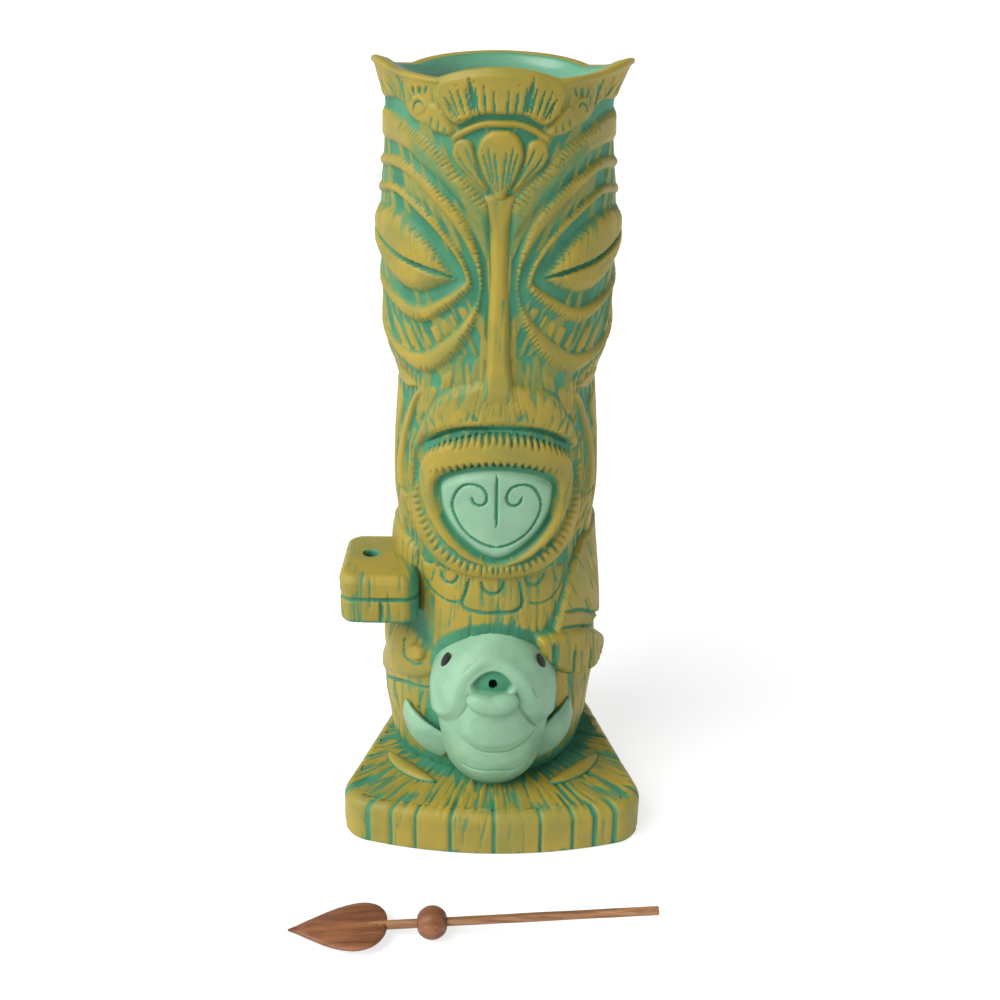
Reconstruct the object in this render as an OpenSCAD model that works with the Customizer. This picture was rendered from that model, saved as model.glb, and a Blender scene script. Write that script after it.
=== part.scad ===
// Tall carved idol mug on a fan-shaped plinth, with a loose wooden spear lying in front of it.
// Millimetres, +Z up, the face looks along -Y. The origin is the middle of the mug body, on the table.

/* [Mug body] */
// Height of the two pointed ear petals on the rim
mug_h = 250; // [230:1:275]
// Diameter of the plain wall behind the carved face
body_d = 74; // [70:1:84]
// Thickness of the cup wall behind the carving
wall_t = 4.5; // [3.5:0.5:6]
// Thickness of the cup floor above the plinth
floor_t = 7; // [5:1:12]
// How far the brows, cheeks and lips stand off the wall
relief_h = 1.4; // [0.8:0.2:2]
// How far the nose stands off the wall
nose_h = 2.2; // [1.2:0.2:3]
// How much the rim petals lean out at the ears
ear_flare = 2.4; // [1:0.2:4]
// How far the rim dips between two petals
petal_dip = 4; // [2:0.5:7]

/* [Plinth] */
// Height of the plinth
plinth_h = 16; // [12:1:22]
// How far the two front corners stand out to the sides of the body wall
plinth_side = 14; // [11:0.5:23]
// How far the front edge stands out from the body wall
plinth_toe = 20; // [17:0.5:29]
// How far the round back stands out from the body wall
plinth_heel = 2; // [1:0.5:7]
// Radius of the long curved front edge
plinth_front_r = 150; // [120:5:220]
// Radius of the two front corners
plinth_corner_r = 11; // [6:1:14]

/* [Spear fist] */
// Height of the fist block
fist_h = 18; // [14:1:24]
// Height of the top of the fist above the table
fist_top = 93; // [86:1:100]
// Width of the fist block, from the body outwards
fist_w = 29; // [26:1:34]
// Depth of the fist block from back to front
fist_depth = 33; // [26:1:36]
// Corner radius of the fist block
fist_corner_r = 6; // [3:1:8]
// Radius of the hole that takes the spear
fist_bore_r = 2.3; // [1.8:0.1:3]

/* [Arms and hand] */
// How far the arms stand off the torso
arm_t = 2; // [1.2:0.2:3]
// How far the left hand stands off the torso
hand_t = 4.2; // [3:0.2:6]
// Height of the left hand
hand_h = 20; // [16:1:24]
// Height of the top of the left hand above the table
hand_top = 70; // [66:1:74]

/* [Tongue] */
// Width of the tongue
tongue_w = 35; // [28:1:40]
// Height of the tongue
tongue_h = 28; // [24:1:30]
// How far the tongue stands off the wall
tongue_t = 1.8; // [1:0.2:2.6]

/* [Fish] */
// Half width of the fish body
fish_r = 21; // [18:0.5:22]
// How far the fish's nose stands out from the body wall
fish_out = 13; // [9:1:15]
// Height of the top of the fish above the plinth
fish_h = 60; // [52:1:62]
// Height of the mouth hole above the plinth
mouth_h = 46; // [42:1:48]
// Radius of the hole in the fish's mouth
mouth_bore_r = 1.65; // [1.5:0.05:2.2]
// Depth of the hole in the fish's mouth
mouth_bore_l = 12; // [8:1:14]
// Upward tilt of the hole in the fish's mouth
mouth_tilt = 30; // [10:5:40]
// Thickness of the side fins
fin_t = 3; // [2:0.5:4]

/* [Spear] */
// Whole length of the spear
spear_l = 114.5; // [100:0.5:130]
// Diameter of the spear shaft
shaft_d = 2.8; // [2.4:0.1:3]
// Diameter of the round bead on the spear
ball_d = 10.2; // [8:0.2:14]
// Distance from the point of the blade to the middle of the bead
ball_at = 44.8; // [38:0.2:52]
// Length of the leaf-shaped blade
blade_l = 31; // [26:0.5:36]
// Width of the leaf-shaped blade
blade_w = 20; // [15:0.5:24]
// Thickness of the blade
blade_t = 2.6; // [1.6:0.2:3]
// How far the shaft runs into the blade
tang_l = 10; // [6:1:14]
// Distance from the body axis to the spear, along the table
spear_y = 93.5; // [75:0.5:120]
// How far the blade's point lies to the left of the body axis
spear_x = 62.5; // [50:0.5:75]

/* [Hidden] */
$fn = 96;

wall_r = body_d / 2;
cup_floor = plinth_h + floor_t;
far = 80;
over = 1;

glaze_olive = [0.59, 0.55, 0.26];
glaze_mint = [0.57, 0.77, 0.63];
glaze_black = [0.08, 0.08, 0.08];
wood = [0.50, 0.33, 0.20];

// Heights of the face, as measured up from the table on the standard mug.
rim_z = mug_h - petal_dip;
brow_z = mug_h - 36;
cheek_z = mug_h - 84;
neck_z = mug_h - 97;
lip_z = mug_h - 104;
chin_z = mug_h - 156;

// The outside of the body without its carving: [height, radius offset from wall_r].
body_profile = [
    [plinth_h, -3.4], [plinth_h + 6, -1.8], [plinth_h + 24, -0.8], [plinth_h + 46, -1.0],
    [chin_z - 16, -1.8], [chin_z, -2.4], [chin_z + 5, -1.0], [chin_z + 20, -0.6], [neck_z, -1.6],
    [neck_z + 5, -1.8], [cheek_z + 2, 0.2], [cheek_z + 26, 0.6], [brow_z, 0.4], [mug_h - 12, 0.2],
    [mug_h + over, ear_flare]
];

// Solid of the body's outside, grown outwards by a distance, and sunk into the plinth as a cutter.
module body_solid(grow = 0, sink = 0) {
    outside = [for (p = body_profile) [wall_r + p[1] + grow, p[0]]];
    sunk = sink > 0 ? [[outside[0][0], plinth_h - sink]] : [];
    rotate_extrude() polygon(concat([[0, plinth_h - sink]], sunk, outside, [[0, mug_h + over]]));
}

// Keeps the part of an outline drawn in (x, z) that lies within a distance of the front wall.
module on_face(grow) {
    intersection() {
        rotate([90, 0, 0]) linear_extrude(far) children();
        body_solid(grow);
    }
}

function bezier(p, n = 12) = [for (i = [0:n]) let (t = i / n, s = 1 - t)
    s * s * s * p[0] + 3 * s * s * t * p[1] + 3 * s * t * t * p[2] + t * t * t * p[3]];
function across(a, b) = let (d = b - a) [-d[1], d[0]] / norm(d);
function edge(c, w) = [for (i = [0:len(c) - 1])
    c[i] + w * sin(180 * (i + 0.8) / (len(c) + 0.6)) * across(c[max(i - 1, 0)], c[min(i + 1, len(c) - 1)])];
function backwards(c) = [for (i = [len(c) - 1:-1:0]) c[i]];

// A crescent that follows a cubic curve and tapers towards both ends.
module crescent(control, w) {
    c = bezier(control);
    polygon(concat(edge(c, w / 2), backwards(edge(c, -w / 2))));
}

module both_sides() {
    children();
    mirror([1, 0]) children();
}

// Carved relief of the face: three brow ridges, two lids and a cheek on each side, and the lips.
module face_outline() {
    both_sides() {
        crescent([[1, brow_z - 1], [12, brow_z + 12], [22, brow_z + 18], [38, brow_z + 21]], 6);
        crescent([[4, brow_z - 24], [7, brow_z - 4], [16, brow_z + 7], [38, brow_z + 8]], 5);
        crescent([[8, brow_z - 24], [12, brow_z - 8], [20, brow_z], [38, brow_z + 1]], 4);
        crescent([[9, brow_z - 22], [16, brow_z - 10], [26, brow_z - 6], [37, brow_z - 9]], 7);
        crescent([[9, brow_z - 24], [16, brow_z - 28], [27, brow_z - 27], [37, brow_z - 20]], 6);
        crescent([[6, brow_z - 25], [12, brow_z - 38], [28, brow_z - 40], [37, brow_z - 30]], 4);
        crescent([[6, brow_z - 34], [12, brow_z - 52], [26, brow_z - 56], [37, brow_z - 42]], 8);
    }
    difference() {
        translate([0, lip_z - 22]) circle(r = 26.5);
        translate([0, lip_z + 11]) square([far, 20], center = true);
        translate([0, lip_z - 18]) tongue_outline(0.4);
    }
}

// The rim seen from the side and from the front: an arched petal at the front and at the back,
// and a pointed ear petal at each side.
module rim_trim() {
    front_y = -0.9 * wall_r;
    back_y = 0.65 * wall_r;
    front_half = sqrt(wall_r * wall_r - front_y * front_y) + ear_flare;
    back_half = sqrt(wall_r * wall_r - back_y * back_y) + ear_flare;
    front_arch_r = (front_half * front_half + petal_dip * petal_dip) / (2 * petal_dip);
    back_arch_r = (back_half * back_half + petal_dip * petal_dip) / (2 * petal_dip);
    arch_top = mug_h - 0.8;
    translate([0, front_y + over / 2, 0]) above_arch(front_arch_r, arch_top);
    translate([0, back_y + far - over / 2, 0]) above_arch(back_arch_r, arch_top);
    rotate([90, 0, 90]) translate([0, 0, -far]) linear_extrude(2 * far)
        polygon([[front_y, mug_h + 2 * over], [front_y, rim_z], [front_y + 13, rim_z + 0.2 * petal_dip],
                 [front_y + 25, mug_h], [front_y + 34, rim_z + 0.7 * petal_dip],
                 [back_y, rim_z], [back_y, mug_h + 2 * over]]);
}

// What stands above an arch of the given radius, whose top is at a height.
module above_arch(r, top) {
    rotate([90, 0, 0]) linear_extrude(far) difference() {
        translate([-far, top - petal_dip]) square([2 * far, far]);
        translate([0, top - r]) circle(r = r, $fn = 180);
    }
}

// The hollow body: a thick wall with the carved face, open at the petal rim.
module vessel() {
    color(glaze_olive)
    difference() {
        union() {
            body_solid();
            difference() {
                on_face(relief_h) face_outline();
                place_nose() nose_outline();
            }
        }
        cup_space();
        rim_trim();
    }
}

// Inside of the cup, which follows the outside at the wall's thickness.
module cup_space() {
    difference() {
        body_solid(-wall_t);
        cylinder(r = far, h = cup_floor);
    }
}

module place_nose() {
    rotate([90, 0, 0]) linear_extrude(far) children();
}

module nose_outline() {
    half = [[3, brow_z - 28], [3.5, brow_z - 40], [7, brow_z - 54], [14, lip_z + 1.5]];
    polygon(concat([[-4.2, brow_z]], [for (p = half) [-p[0], p[1]]],
                   [for (i = [3:-1:0]) half[i]], [[4.2, brow_z]]));
}

// Long wedge nose luted to the wall.
module nose() {
    color(glaze_olive)
    difference() {
        on_face(nose_h) nose_outline();
        body_solid();
    }
}

module tongue_outline(grow = 0) {
    r = tongue_w / 2 + grow;
    intersection() {
        translate([0, r - tongue_h + 1]) circle(r = r);
        translate([0, -tongue_h / 2]) square([2 * r, tongue_h + 2 * grow], center = true);
    }
    intersection() {
        translate([0, -tongue_h / 4]) square([2 * r, tongue_h / 2 + 2 * grow], center = true);
        translate([0, -1.6 * tongue_h]) circle(r = 1.6 * tongue_h + grow);
    }
}

// Mint tongue seated inside the lips.
module tongue() {
    color(glaze_mint)
    difference() {
        on_face(tongue_t) translate([0, lip_z - 18]) tongue_outline();
        body_solid();
    }
}

function arc(centre, r, from, to, n) =
    [for (i = [0:n]) let (a = from + (to - from) * i / n) centre + r * [sin(a), -cos(a)]];

// Outline of the plinth: a round back, straight flaring sides and a long curved front,
// with every arc tangent to the next. Angles run from the front.
module plinth_outline() {
    plinth_back_r = wall_r + plinth_heel;
    front_centre = [0, plinth_front_r - wall_r - plinth_toe];
    inner_r = plinth_front_r - plinth_corner_r;
    corner_x = wall_r + plinth_side - plinth_corner_r;
    corner = front_centre + [corner_x, -sqrt(inner_r * inner_r - corner_x * corner_x)];
    sweep = asin(corner_x / inner_r);
    side = atan2(corner[0], -corner[1]) + acos((plinth_back_r - plinth_corner_r) / norm(corner));
    polygon(concat(
        arc(front_centre, plinth_front_r, -sweep, sweep, 16),
        arc(corner, plinth_corner_r, sweep, side, 14),
        arc([0, 0], plinth_back_r, side, 360 - side, 32),
        arc([-corner[0], corner[1]], plinth_corner_r, 360 - side, 360 - sweep, 14)));
}

// Thick slab that the body stands on.
module plinth() {
    color(glaze_olive) linear_extrude(plinth_h) plinth_outline();
}

// A rounded rectangle from one corner to the other.
module rounded_rect(low, high, r) {
    size = high - low;
    translate(low + [r, 0]) square([size[0] - 2 * r, size[1]]);
    translate(low + [0, r]) square([size[0], size[1] - 2 * r]);
    for (x = [low[0] + r, high[0] - r], y = [low[1] + r, high[1] - r]) translate([x, y]) circle(r = r);
}

fist_out = wall_r + 17;
fist_front = wall_r - 4;
fist_bore = [-wall_r - 4.5, 17 - fist_front];

// Right fist, held out from the body, with an upright hole right through it for the spear.
module spear_fist() {
    color(glaze_olive)
    difference() {
        translate([0, 0, fist_top - fist_h]) linear_extrude(fist_h)
            rounded_rect([-fist_out, -fist_front], [fist_w - fist_out, fist_depth - fist_front],
                         fist_corner_r);
        body_solid(arm_t);
        translate([fist_bore[0], fist_bore[1], fist_top - fist_h - over])
            cylinder(r = fist_bore_r, h = fist_h + 2 * over);
    }
}

// Slip between a luted piece and the wall.
slip = 0.05;

// A piece of sleeve round the torso, between two heights and two angles from the front.
module sleeve(t, low, high, from, to, side) {
    difference() {
        intersection() {
            body_solid(t);
            translate([0, 0, low]) linear_extrude(high - low)
                polygon([[0, 0], for (a = [from:(to - from) / 4:to]) far * [side * sin(a), -cos(a)]]);
        }
        body_solid(slip);
    }
}

arm_low = fist_top - fist_h;
arm_high = chin_z + 10;

module right_arm() {
    color(glaze_olive) sleeve(arm_t, arm_low, arm_high, 30, 118, -1);
}

module left_arm() {
    color(glaze_olive) sleeve(arm_t, hand_top, arm_high, 46, 118, 1);
}

module hand_solid() {
    sleeve(hand_t, hand_top - hand_h, hand_top, 26, 82, 1);
}

// Left hand laid flat on the hip, against the side of the fish.
module left_hand() {
    color(glaze_olive)
    difference() {
        hand_solid();
        fish_solid();
    }
}

// The fish is turned on its own upright axis, which is sunk into the wall.
fish_y = wall_r - 8;
nose_r = wall_r + fish_out - fish_y;
mouth_z = plinth_h + mouth_h;

// The fish from its tail to the top of its head: [share of the height, share of the nose radius].
fish_profile = [[0, 0.45], [0.12, 0.72], [0.3, 0.88], [0.5, 0.97], [0.68, 0.97], [0.84, 0.85],
                [0.95, 0.6], [1, 0]];

// Radius of the fish round its own axis, at a height above the plinth.
function fish_radius(h) = nose_r * lookup(h / fish_h, fish_profile);

// Outside of the fish without its lip, as a barrel that narrows to the tail.
module fish_solid() {
    intersection() {
        translate([0, -fish_y, plinth_h]) rotate_extrude()
            polygon(concat([[0, 0]], [for (p = fish_profile) [nose_r * p[1], fish_h * p[0]]]));
        translate([-fish_r, -far, 0]) cube([2 * fish_r, far, mug_h]);
    }
}

// The drilled hole of the mouth: a cylinder on a tilted axis that starts on the fish's skin.
module mouth_bore() {
    translate([0, -fish_y - fish_radius(mouth_h), mouth_z]) rotate([90 - mouth_tilt, 0, 0])
        translate([0, 0, -mouth_bore_l]) cylinder(r = mouth_bore_r, h = mouth_bore_l + 10);
}

// Upper head and body of the fish, hugged against the belly, with a blind hole in its mouth.
module fish() {
    color(glaze_mint)
    difference() {
        fish_solid();
        body_solid(sink = over);
        lip_block();
        mouth_bore();
        for (side = [-1, 1]) eye_seat(side);
    }
}

lip_w = 16;
lip_h = 7;
lip_out = 1.4;
lip_in = 3.5;
lip_drop = 3.5;

module lip_block() {
    translate([0, -wall_r - fish_out, mouth_z - lip_drop - lip_h])
        linear_extrude(lip_h) rounded_rect([-lip_w / 2, -lip_out], [lip_w / 2, lip_in], 2.4);
}

// Thick lower lip of the fish, below the hole.
module fish_lip() {
    color(glaze_mint)
    difference() {
        lip_block();
        mouth_bore();
    }
}

eye_depth = 1.5;
eye_l = 5.6;
eye_w = 3;

// The leaf-shaped seat of an eye, square to the side of the head.
module eye_seat(side) {
    out = 0.7 * fish_r;
    eye_h = 0.81 * fish_h;
    head_r = fish_radius(eye_h);
    lens_r = (eye_l * eye_l + eye_w * eye_w) / (4 * eye_w);
    translate([side * out, -fish_y - sqrt(head_r * head_r - out * out), plinth_h + eye_h])
        rotate([0, 0, side * asin(out / head_r)]) rotate([60, 0, 0]) rotate([0, 0, side * 20])
        translate([0, 0, -eye_depth]) linear_extrude(2 * eye_depth) intersection() {
            translate([lens_r - eye_w / 2, 0]) circle(r = lens_r);
            translate([eye_w / 2 - lens_r, 0]) circle(r = lens_r);
        }
}

// Black glaze bead set in its seat.
module fish_eye(side) {
    color(glaze_black)
    intersection() {
        eye_seat(side);
        fish_solid();
    }
}

// Leaf-shaped side fin lying against the leg.
module fish_fin(side) {
    root = [side * 15, plinth_h + 17];
    tip = [side * 29, plinth_h + 36];
    mid = [side * 26, plinth_h + 18];
    color(glaze_mint)
    difference() {
        intersection() {
            rotate([90, 0, 0]) linear_extrude(far) polygon([root, mid, [side * 29.5, plinth_h + 26], tip,
                [side * 22, plinth_h + 31], [side * 16, plinth_h + 32]]);
            body_solid(fin_t);
        }
        body_solid();
        fish_solid();
        hand_solid();
    }
}

foot_h = 2.2;
foot_out_r = wall_r + 9.5;
foot_depth = 6.5;
foot_toe_r = 13;
foot_angle = 43;

// Foot: a pointed crescent on the plinth, bent round the body.
module foot(side) {
    reach = foot_out_r - foot_depth + foot_toe_r;
    color(glaze_olive)
    translate([0, 0, plinth_h]) linear_extrude(foot_h) intersection() {
        circle(r = foot_out_r);
        translate(reach * [side * sin(foot_angle), -cos(foot_angle)]) circle(r = foot_toe_r);
    }
}

// The spear lies on the table on its bead and on the point of its blade, so it tips up at the tail.
spear_tilt = asin((ball_d / 2 - blade_t / 2) / ball_at);

module lay_spear() {
    translate([ball_at - spear_x, -spear_y, ball_d / 2]) rotate([0, -spear_tilt, 0])
        translate([-ball_at, 0, 0]) children();
}

module shaft_solid() {
    translate([blade_l - tang_l, 0, 0]) rotate([0, 90, 0]) cylinder(d = shaft_d, h = spear_l - blade_l + tang_l);
}

// Whittled stick that carries the bead and the blade; its plain end fits the hole in the fist.
module spear_shaft() {
    color(wood) lay_spear() shaft_solid();
}

// Round bead threaded on the shaft.
module spear_ball() {
    color(wood) lay_spear()
        translate([ball_at, 0, 0]) rotate([0, 90, 0]) rotate_extrude() difference() {
            circle(d = ball_d);
            translate([-ball_d, -ball_d]) square([ball_d + shaft_d / 2, 2 * ball_d]);
        }
}

// Leaf-shaped blade, slotted for the end of the shaft.
module spear_blade() {
    upper = bezier([[0, 0], [0.3 * blade_l, 0.22 * blade_w], [0.52 * blade_l, 0.58 * blade_w],
                    [0.78 * blade_l, 0.5 * blade_w]], 10);
    lobe = bezier([[0.78 * blade_l, 0.5 * blade_w], [1.02 * blade_l, 0.42 * blade_w],
                   [1.04 * blade_l, 0.16 * blade_w], [0.98 * blade_l, 0]], 8);
    half = concat(upper, [for (i = [1:8]) lobe[i]]);
    color(wood) lay_spear()
    difference() {
        translate([0, 0, -blade_t / 2]) linear_extrude(blade_t)
            polygon(concat(half, [for (i = [len(half) - 2:-1:1]) [half[i][0], -half[i][1]]]));
        shaft_solid();
    }
}

vessel();
plinth();
nose();
tongue();
right_arm();
spear_fist();
left_arm();
left_hand();
fish();
fish_lip();
fish_fin(-1);  // fish_fin_right
fish_fin(1);  // fish_fin_left
fish_eye(-1);  // fish_eye_right
fish_eye(1);  // fish_eye_left
foot(-1);  // foot_right
foot(1);  // foot_left
spear_shaft();
spear_ball();
spear_blade();
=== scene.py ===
import math

import bmesh
import bpy
import numpy as np
from mathutils import Matrix, Vector


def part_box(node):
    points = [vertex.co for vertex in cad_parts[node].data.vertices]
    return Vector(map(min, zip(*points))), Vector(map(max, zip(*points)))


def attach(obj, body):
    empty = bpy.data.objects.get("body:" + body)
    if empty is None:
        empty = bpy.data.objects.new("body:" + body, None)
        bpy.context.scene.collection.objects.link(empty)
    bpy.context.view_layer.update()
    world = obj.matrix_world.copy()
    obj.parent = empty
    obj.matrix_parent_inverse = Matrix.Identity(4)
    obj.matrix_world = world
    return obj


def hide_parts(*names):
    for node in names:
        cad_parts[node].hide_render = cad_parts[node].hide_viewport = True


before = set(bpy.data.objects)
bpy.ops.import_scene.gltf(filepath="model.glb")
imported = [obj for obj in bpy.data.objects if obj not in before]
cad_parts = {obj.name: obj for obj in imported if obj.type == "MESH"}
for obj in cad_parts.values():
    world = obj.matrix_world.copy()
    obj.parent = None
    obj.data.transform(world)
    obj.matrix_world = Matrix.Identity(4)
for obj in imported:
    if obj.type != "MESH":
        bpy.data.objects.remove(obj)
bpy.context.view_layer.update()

# The camera stands in front of the mug, a little above the rim, and looks down at it.
# The whole mug and the spear on the table before it fill the picture.
camera_data = bpy.data.cameras.new("camera")
camera_data.sensor_width = 36
camera_data.lens = 42.27
camera = bpy.data.objects.new("camera", camera_data)
bpy.context.collection.objects.link(camera)
look_down, roll = math.radians(24.12), math.radians(0.7)
camera.matrix_world = (Matrix.Translation((0.0016, -0.370, 0.2716))
                       @ Matrix.Rotation(math.pi / 2 - look_down, 4, "X")
                       @ Matrix.Rotation(roll, 4, "Z"))
bpy.context.scene.camera = camera
bpy.context.scene.view_settings.view_transform = "Standard"


# Table and light: a seamless white sheet inside a soft tent, brighter from the left.
# The two classes serve every material of the scene; the table, tent and lamps are no part of the mug.
class Value:
    """A number that runs along a link of a material; sums and products of it add Math nodes."""

    def __init__(self, finish, socket):
        self.finish, self.socket = finish, socket

    def math(self, operation, *values):
        node = self.finish.add("ShaderNodeMath", {"operation": operation}, dict(enumerate(values)))
        return Value(self.finish, node.outputs[0])

    def __add__(self, other):
        return self.math("ADD", self, other)

    def __sub__(self, other):
        return self.math("SUBTRACT", self, other)

    def __rsub__(self, other):
        return self.math("SUBTRACT", other, self)

    def __mul__(self, other):
        return self.math("MULTIPLY", self, other)

    __radd__, __rmul__ = __add__, __mul__

    def between(self, low, high):
        """0 below low, 1 above high, and an even S-curve from one to the other."""
        node = self.finish.add("ShaderNodeMapRange", {"interpolation_type": "SMOOTHSTEP"},
                               {"Value": self, "From Min": low, "From Max": high})
        return Value(self.finish, node.outputs["Result"])


class Finish:
    """A material on one Principled shader; add makes any of its nodes."""

    def __init__(self, name, **constants):
        self.material = bpy.data.materials.new(name)
        self.material.use_nodes = True
        self.tree = self.material.node_tree
        self.shader = self.tree.nodes["Principled BSDF"]
        for key, value in constants.items():
            self.shader.inputs[key.replace("_", " ")].default_value = value

    def add(self, kind, settings, sockets):
        node = self.tree.nodes.new(kind)
        for key, value in settings.items():
            setattr(node, key, value)
        for key, value in sockets.items():
            self.feed(node.inputs[key], value)
        return node

    def feed(self, socket, value):
        if isinstance(value, Value):
            self.tree.links.new(value.socket, socket)
        else:
            socket.default_value = value

    def place(self, stretch=(1, 1, 1)):
        """Place on the piece in metres, stretched along its axes."""
        place = self.add("ShaderNodeTexCoord", {}, {})
        node = self.add("ShaderNodeMapping", {}, {"Scale": stretch})
        self.tree.links.new(place.outputs["Object"], node.inputs["Vector"])
        return Value(self, node.outputs["Vector"])

    def noise(self, scale, detail=2, stretch=(1, 1, 1)):
        node = self.add("ShaderNodeTexNoise", {},
                        {"Vector": self.place(stretch), "Scale": scale, "Detail": detail})
        return Value(self, node.outputs["Fac"])

    def attribute(self, name):
        return Value(self, self.add("ShaderNodeAttribute", {"attribute_name": name}, {}).outputs["Fac"])

    def mix(self, factor, a, b):
        node = self.add("ShaderNodeMix", {"data_type": "RGBA"}, {0: factor, 6: a, 7: b})
        return Value(self, node.outputs[2])

    def bump(self, height, depth):
        """Bump of a depth in metres, for a height from 0 to 1."""
        node = self.add("ShaderNodeBump", {}, {"Height": height, "Distance": depth, "Strength": 1.0})
        self.feed(self.shader.inputs["Normal"], Value(self, node.outputs["Normal"]))


def made(name, bm, material):
    """Makes an object of one material from its mesh."""
    mesh = bpy.data.meshes.new(name)
    bm.to_mesh(mesh)
    bm.free()
    mesh.materials.append(material)
    thing = bpy.data.objects.new(name, mesh)
    bpy.context.collection.objects.link(thing)
    return thing


paper = Finish("white_paper", Roughness=0.9, Emission_Color=(1, 1, 1, 1), Emission_Strength=0.72)
paper.feed(paper.shader.inputs["Base Color"],
           paper.mix(paper.noise(0.8), (0.32, 0.32, 0.32, 1), (0.34, 0.34, 0.34, 1)))
sweep = bmesh.new()
bmesh.ops.create_grid(sweep, x_segments=1, y_segments=1, size=40)
made("floor", sweep, paper.material)

tent_wall = Finish("tent_wall", Base_Color=(0.2, 0.2, 0.2, 1), Emission_Color=(1, 1, 1, 1),
                   Emission_Strength=0.9)
TENT_R, TENT_H = 12, 5
drum = bmesh.new()
bmesh.ops.create_cone(drum, cap_ends=False, segments=64, radius1=TENT_R, radius2=TENT_R, depth=TENT_H)
bmesh.ops.translate(drum, vec=(0, 0, TENT_H / 2), verts=drum.verts)
made("backdrop", drum, tent_wall.material)

world = bpy.data.worlds.new("tent")
bpy.context.scene.world = world
world.use_nodes = True
world.node_tree.nodes["Background"].inputs["Color"].default_value = (1, 1, 1, 1)
world.node_tree.nodes["Background"].inputs["Strength"].default_value = 0.22

for name, kind, place, aim, power, extent in (
        ("window", "AREA", (-0.9, -0.6, 1.2), (0, 0, 0.12), 2, ("size", 0.5)),
        ("sky_light", "SUN", (-0.80, -0.52, 0.95), (0, 0, 0), 3.9, ("angle", math.radians(50)))):
    lamp = bpy.data.lights.new(name, kind)
    lamp.energy = power
    setattr(lamp, *extent)
    light = bpy.data.objects.new(name, lamp)
    light.location = place
    light.rotation_euler = (Vector(aim) - Vector(place)).to_track_quat("-Z", "Y").to_euler()
    bpy.context.collection.objects.link(light)

# Head: the upper part of the slip-cast mug. Brows, lids, cheeks and lips stand up from the clay;
# olive glaze was wiped off the high places, and the green below it stays in every cut.
MM = 0.001            # one millimetre, in metres
TURN = 0.6            # the face looks a touch to its left, mm round the wall
UNROLL = 37.0         # radius at which the wall is unrolled, mm
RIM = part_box("vessel")[1].z / MM
WALL = 4.5            # thickness of the head's wall, mm
JAW = 94.0            # height at which the head ends and the torso begins, mm


def smooth(t):
    t = np.clip(t, 0, 1)
    return t * t * (3 - 2 * t)


def chance(i, j, seed):
    """A fixed even draw from 0 to 1 for each pair of whole numbers."""
    n = i.astype(np.int64) * 73856093 ^ j.astype(np.int64) * 19349663 ^ (seed * 83492791)
    n = (n ^ (n >> 13)) * 1274126177 & 0x7FFFFFFF
    n = (n ^ (n >> 11)) * 668265263 & 0x7FFFFFFF
    return (n & 0xFFFF) / 65535.0


def grain(u, v, seed=1):
    """Soft noise from 0 to 1 with one cell per unit."""
    i, j = np.floor(u), np.floor(v)
    a, b = smooth(u - i), smooth(v - j)
    low = chance(i, j, seed) * (1 - a) + chance(i + 1, j, seed) * a
    high = chance(i, j + 1, seed) * (1 - a) + chance(i + 1, j + 1, seed) * a
    return low * (1 - b) + high * b


def flowing(points, closed=False, step=0.9):
    """A smooth line through given points."""
    p = np.array(points, float)
    ends = (p[-1:], p[:2]) if closed else (2 * p[:1] - p[1:2], 2 * p[-1:] - p[-2:-1])
    p = np.concatenate([ends[0], p, ends[1]])
    line = []
    for a, b, c, d in zip(p, p[1:], p[2:], p[3:]):
        n = max(2, int(np.hypot(*(c - b)) / step))
        t = np.arange(n)[:, None] / n
        line.append(0.5 * (2 * b + (c - a) * t + (2 * a - 5 * b + 4 * c - d) * t * t
                           + (3 * b - a - 3 * c + d) * t ** 3))
    return np.concatenate(line + [p[-2:-1]])


def along(line, x, y):
    """Distance to a line, and the length along it of the nearest place."""
    gap = np.full(x.shape, 1e9)
    length = np.zeros(x.shape)
    start = 0.0
    for (ax, ay), (bx, by) in zip(line, line[1:]):
        dx, dy = bx - ax, by - ay
        run = math.hypot(dx, dy) + 1e-9
        t = np.clip(((x - ax) * dx + (y - ay) * dy) / run ** 2, 0, 1)
        e = np.hypot(x - ax - t * dx, y - ay - t * dy)
        closer = e < gap
        gap = np.where(closer, e, gap)
        length = np.where(closer, start + t * run, length)
        start += run
    return gap, length


def inside(line, x, y):
    odd = np.zeros(x.shape, bool)
    for (ax, ay), (bx, by) in zip(line, np.roll(line, -1, 0)):
        crosses = (ay > y) != (by > y)
        odd ^= crosses & (x < (bx - ax) * (y - ay) / (by - ay + 1e-12) + ax)
    return odd


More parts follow.
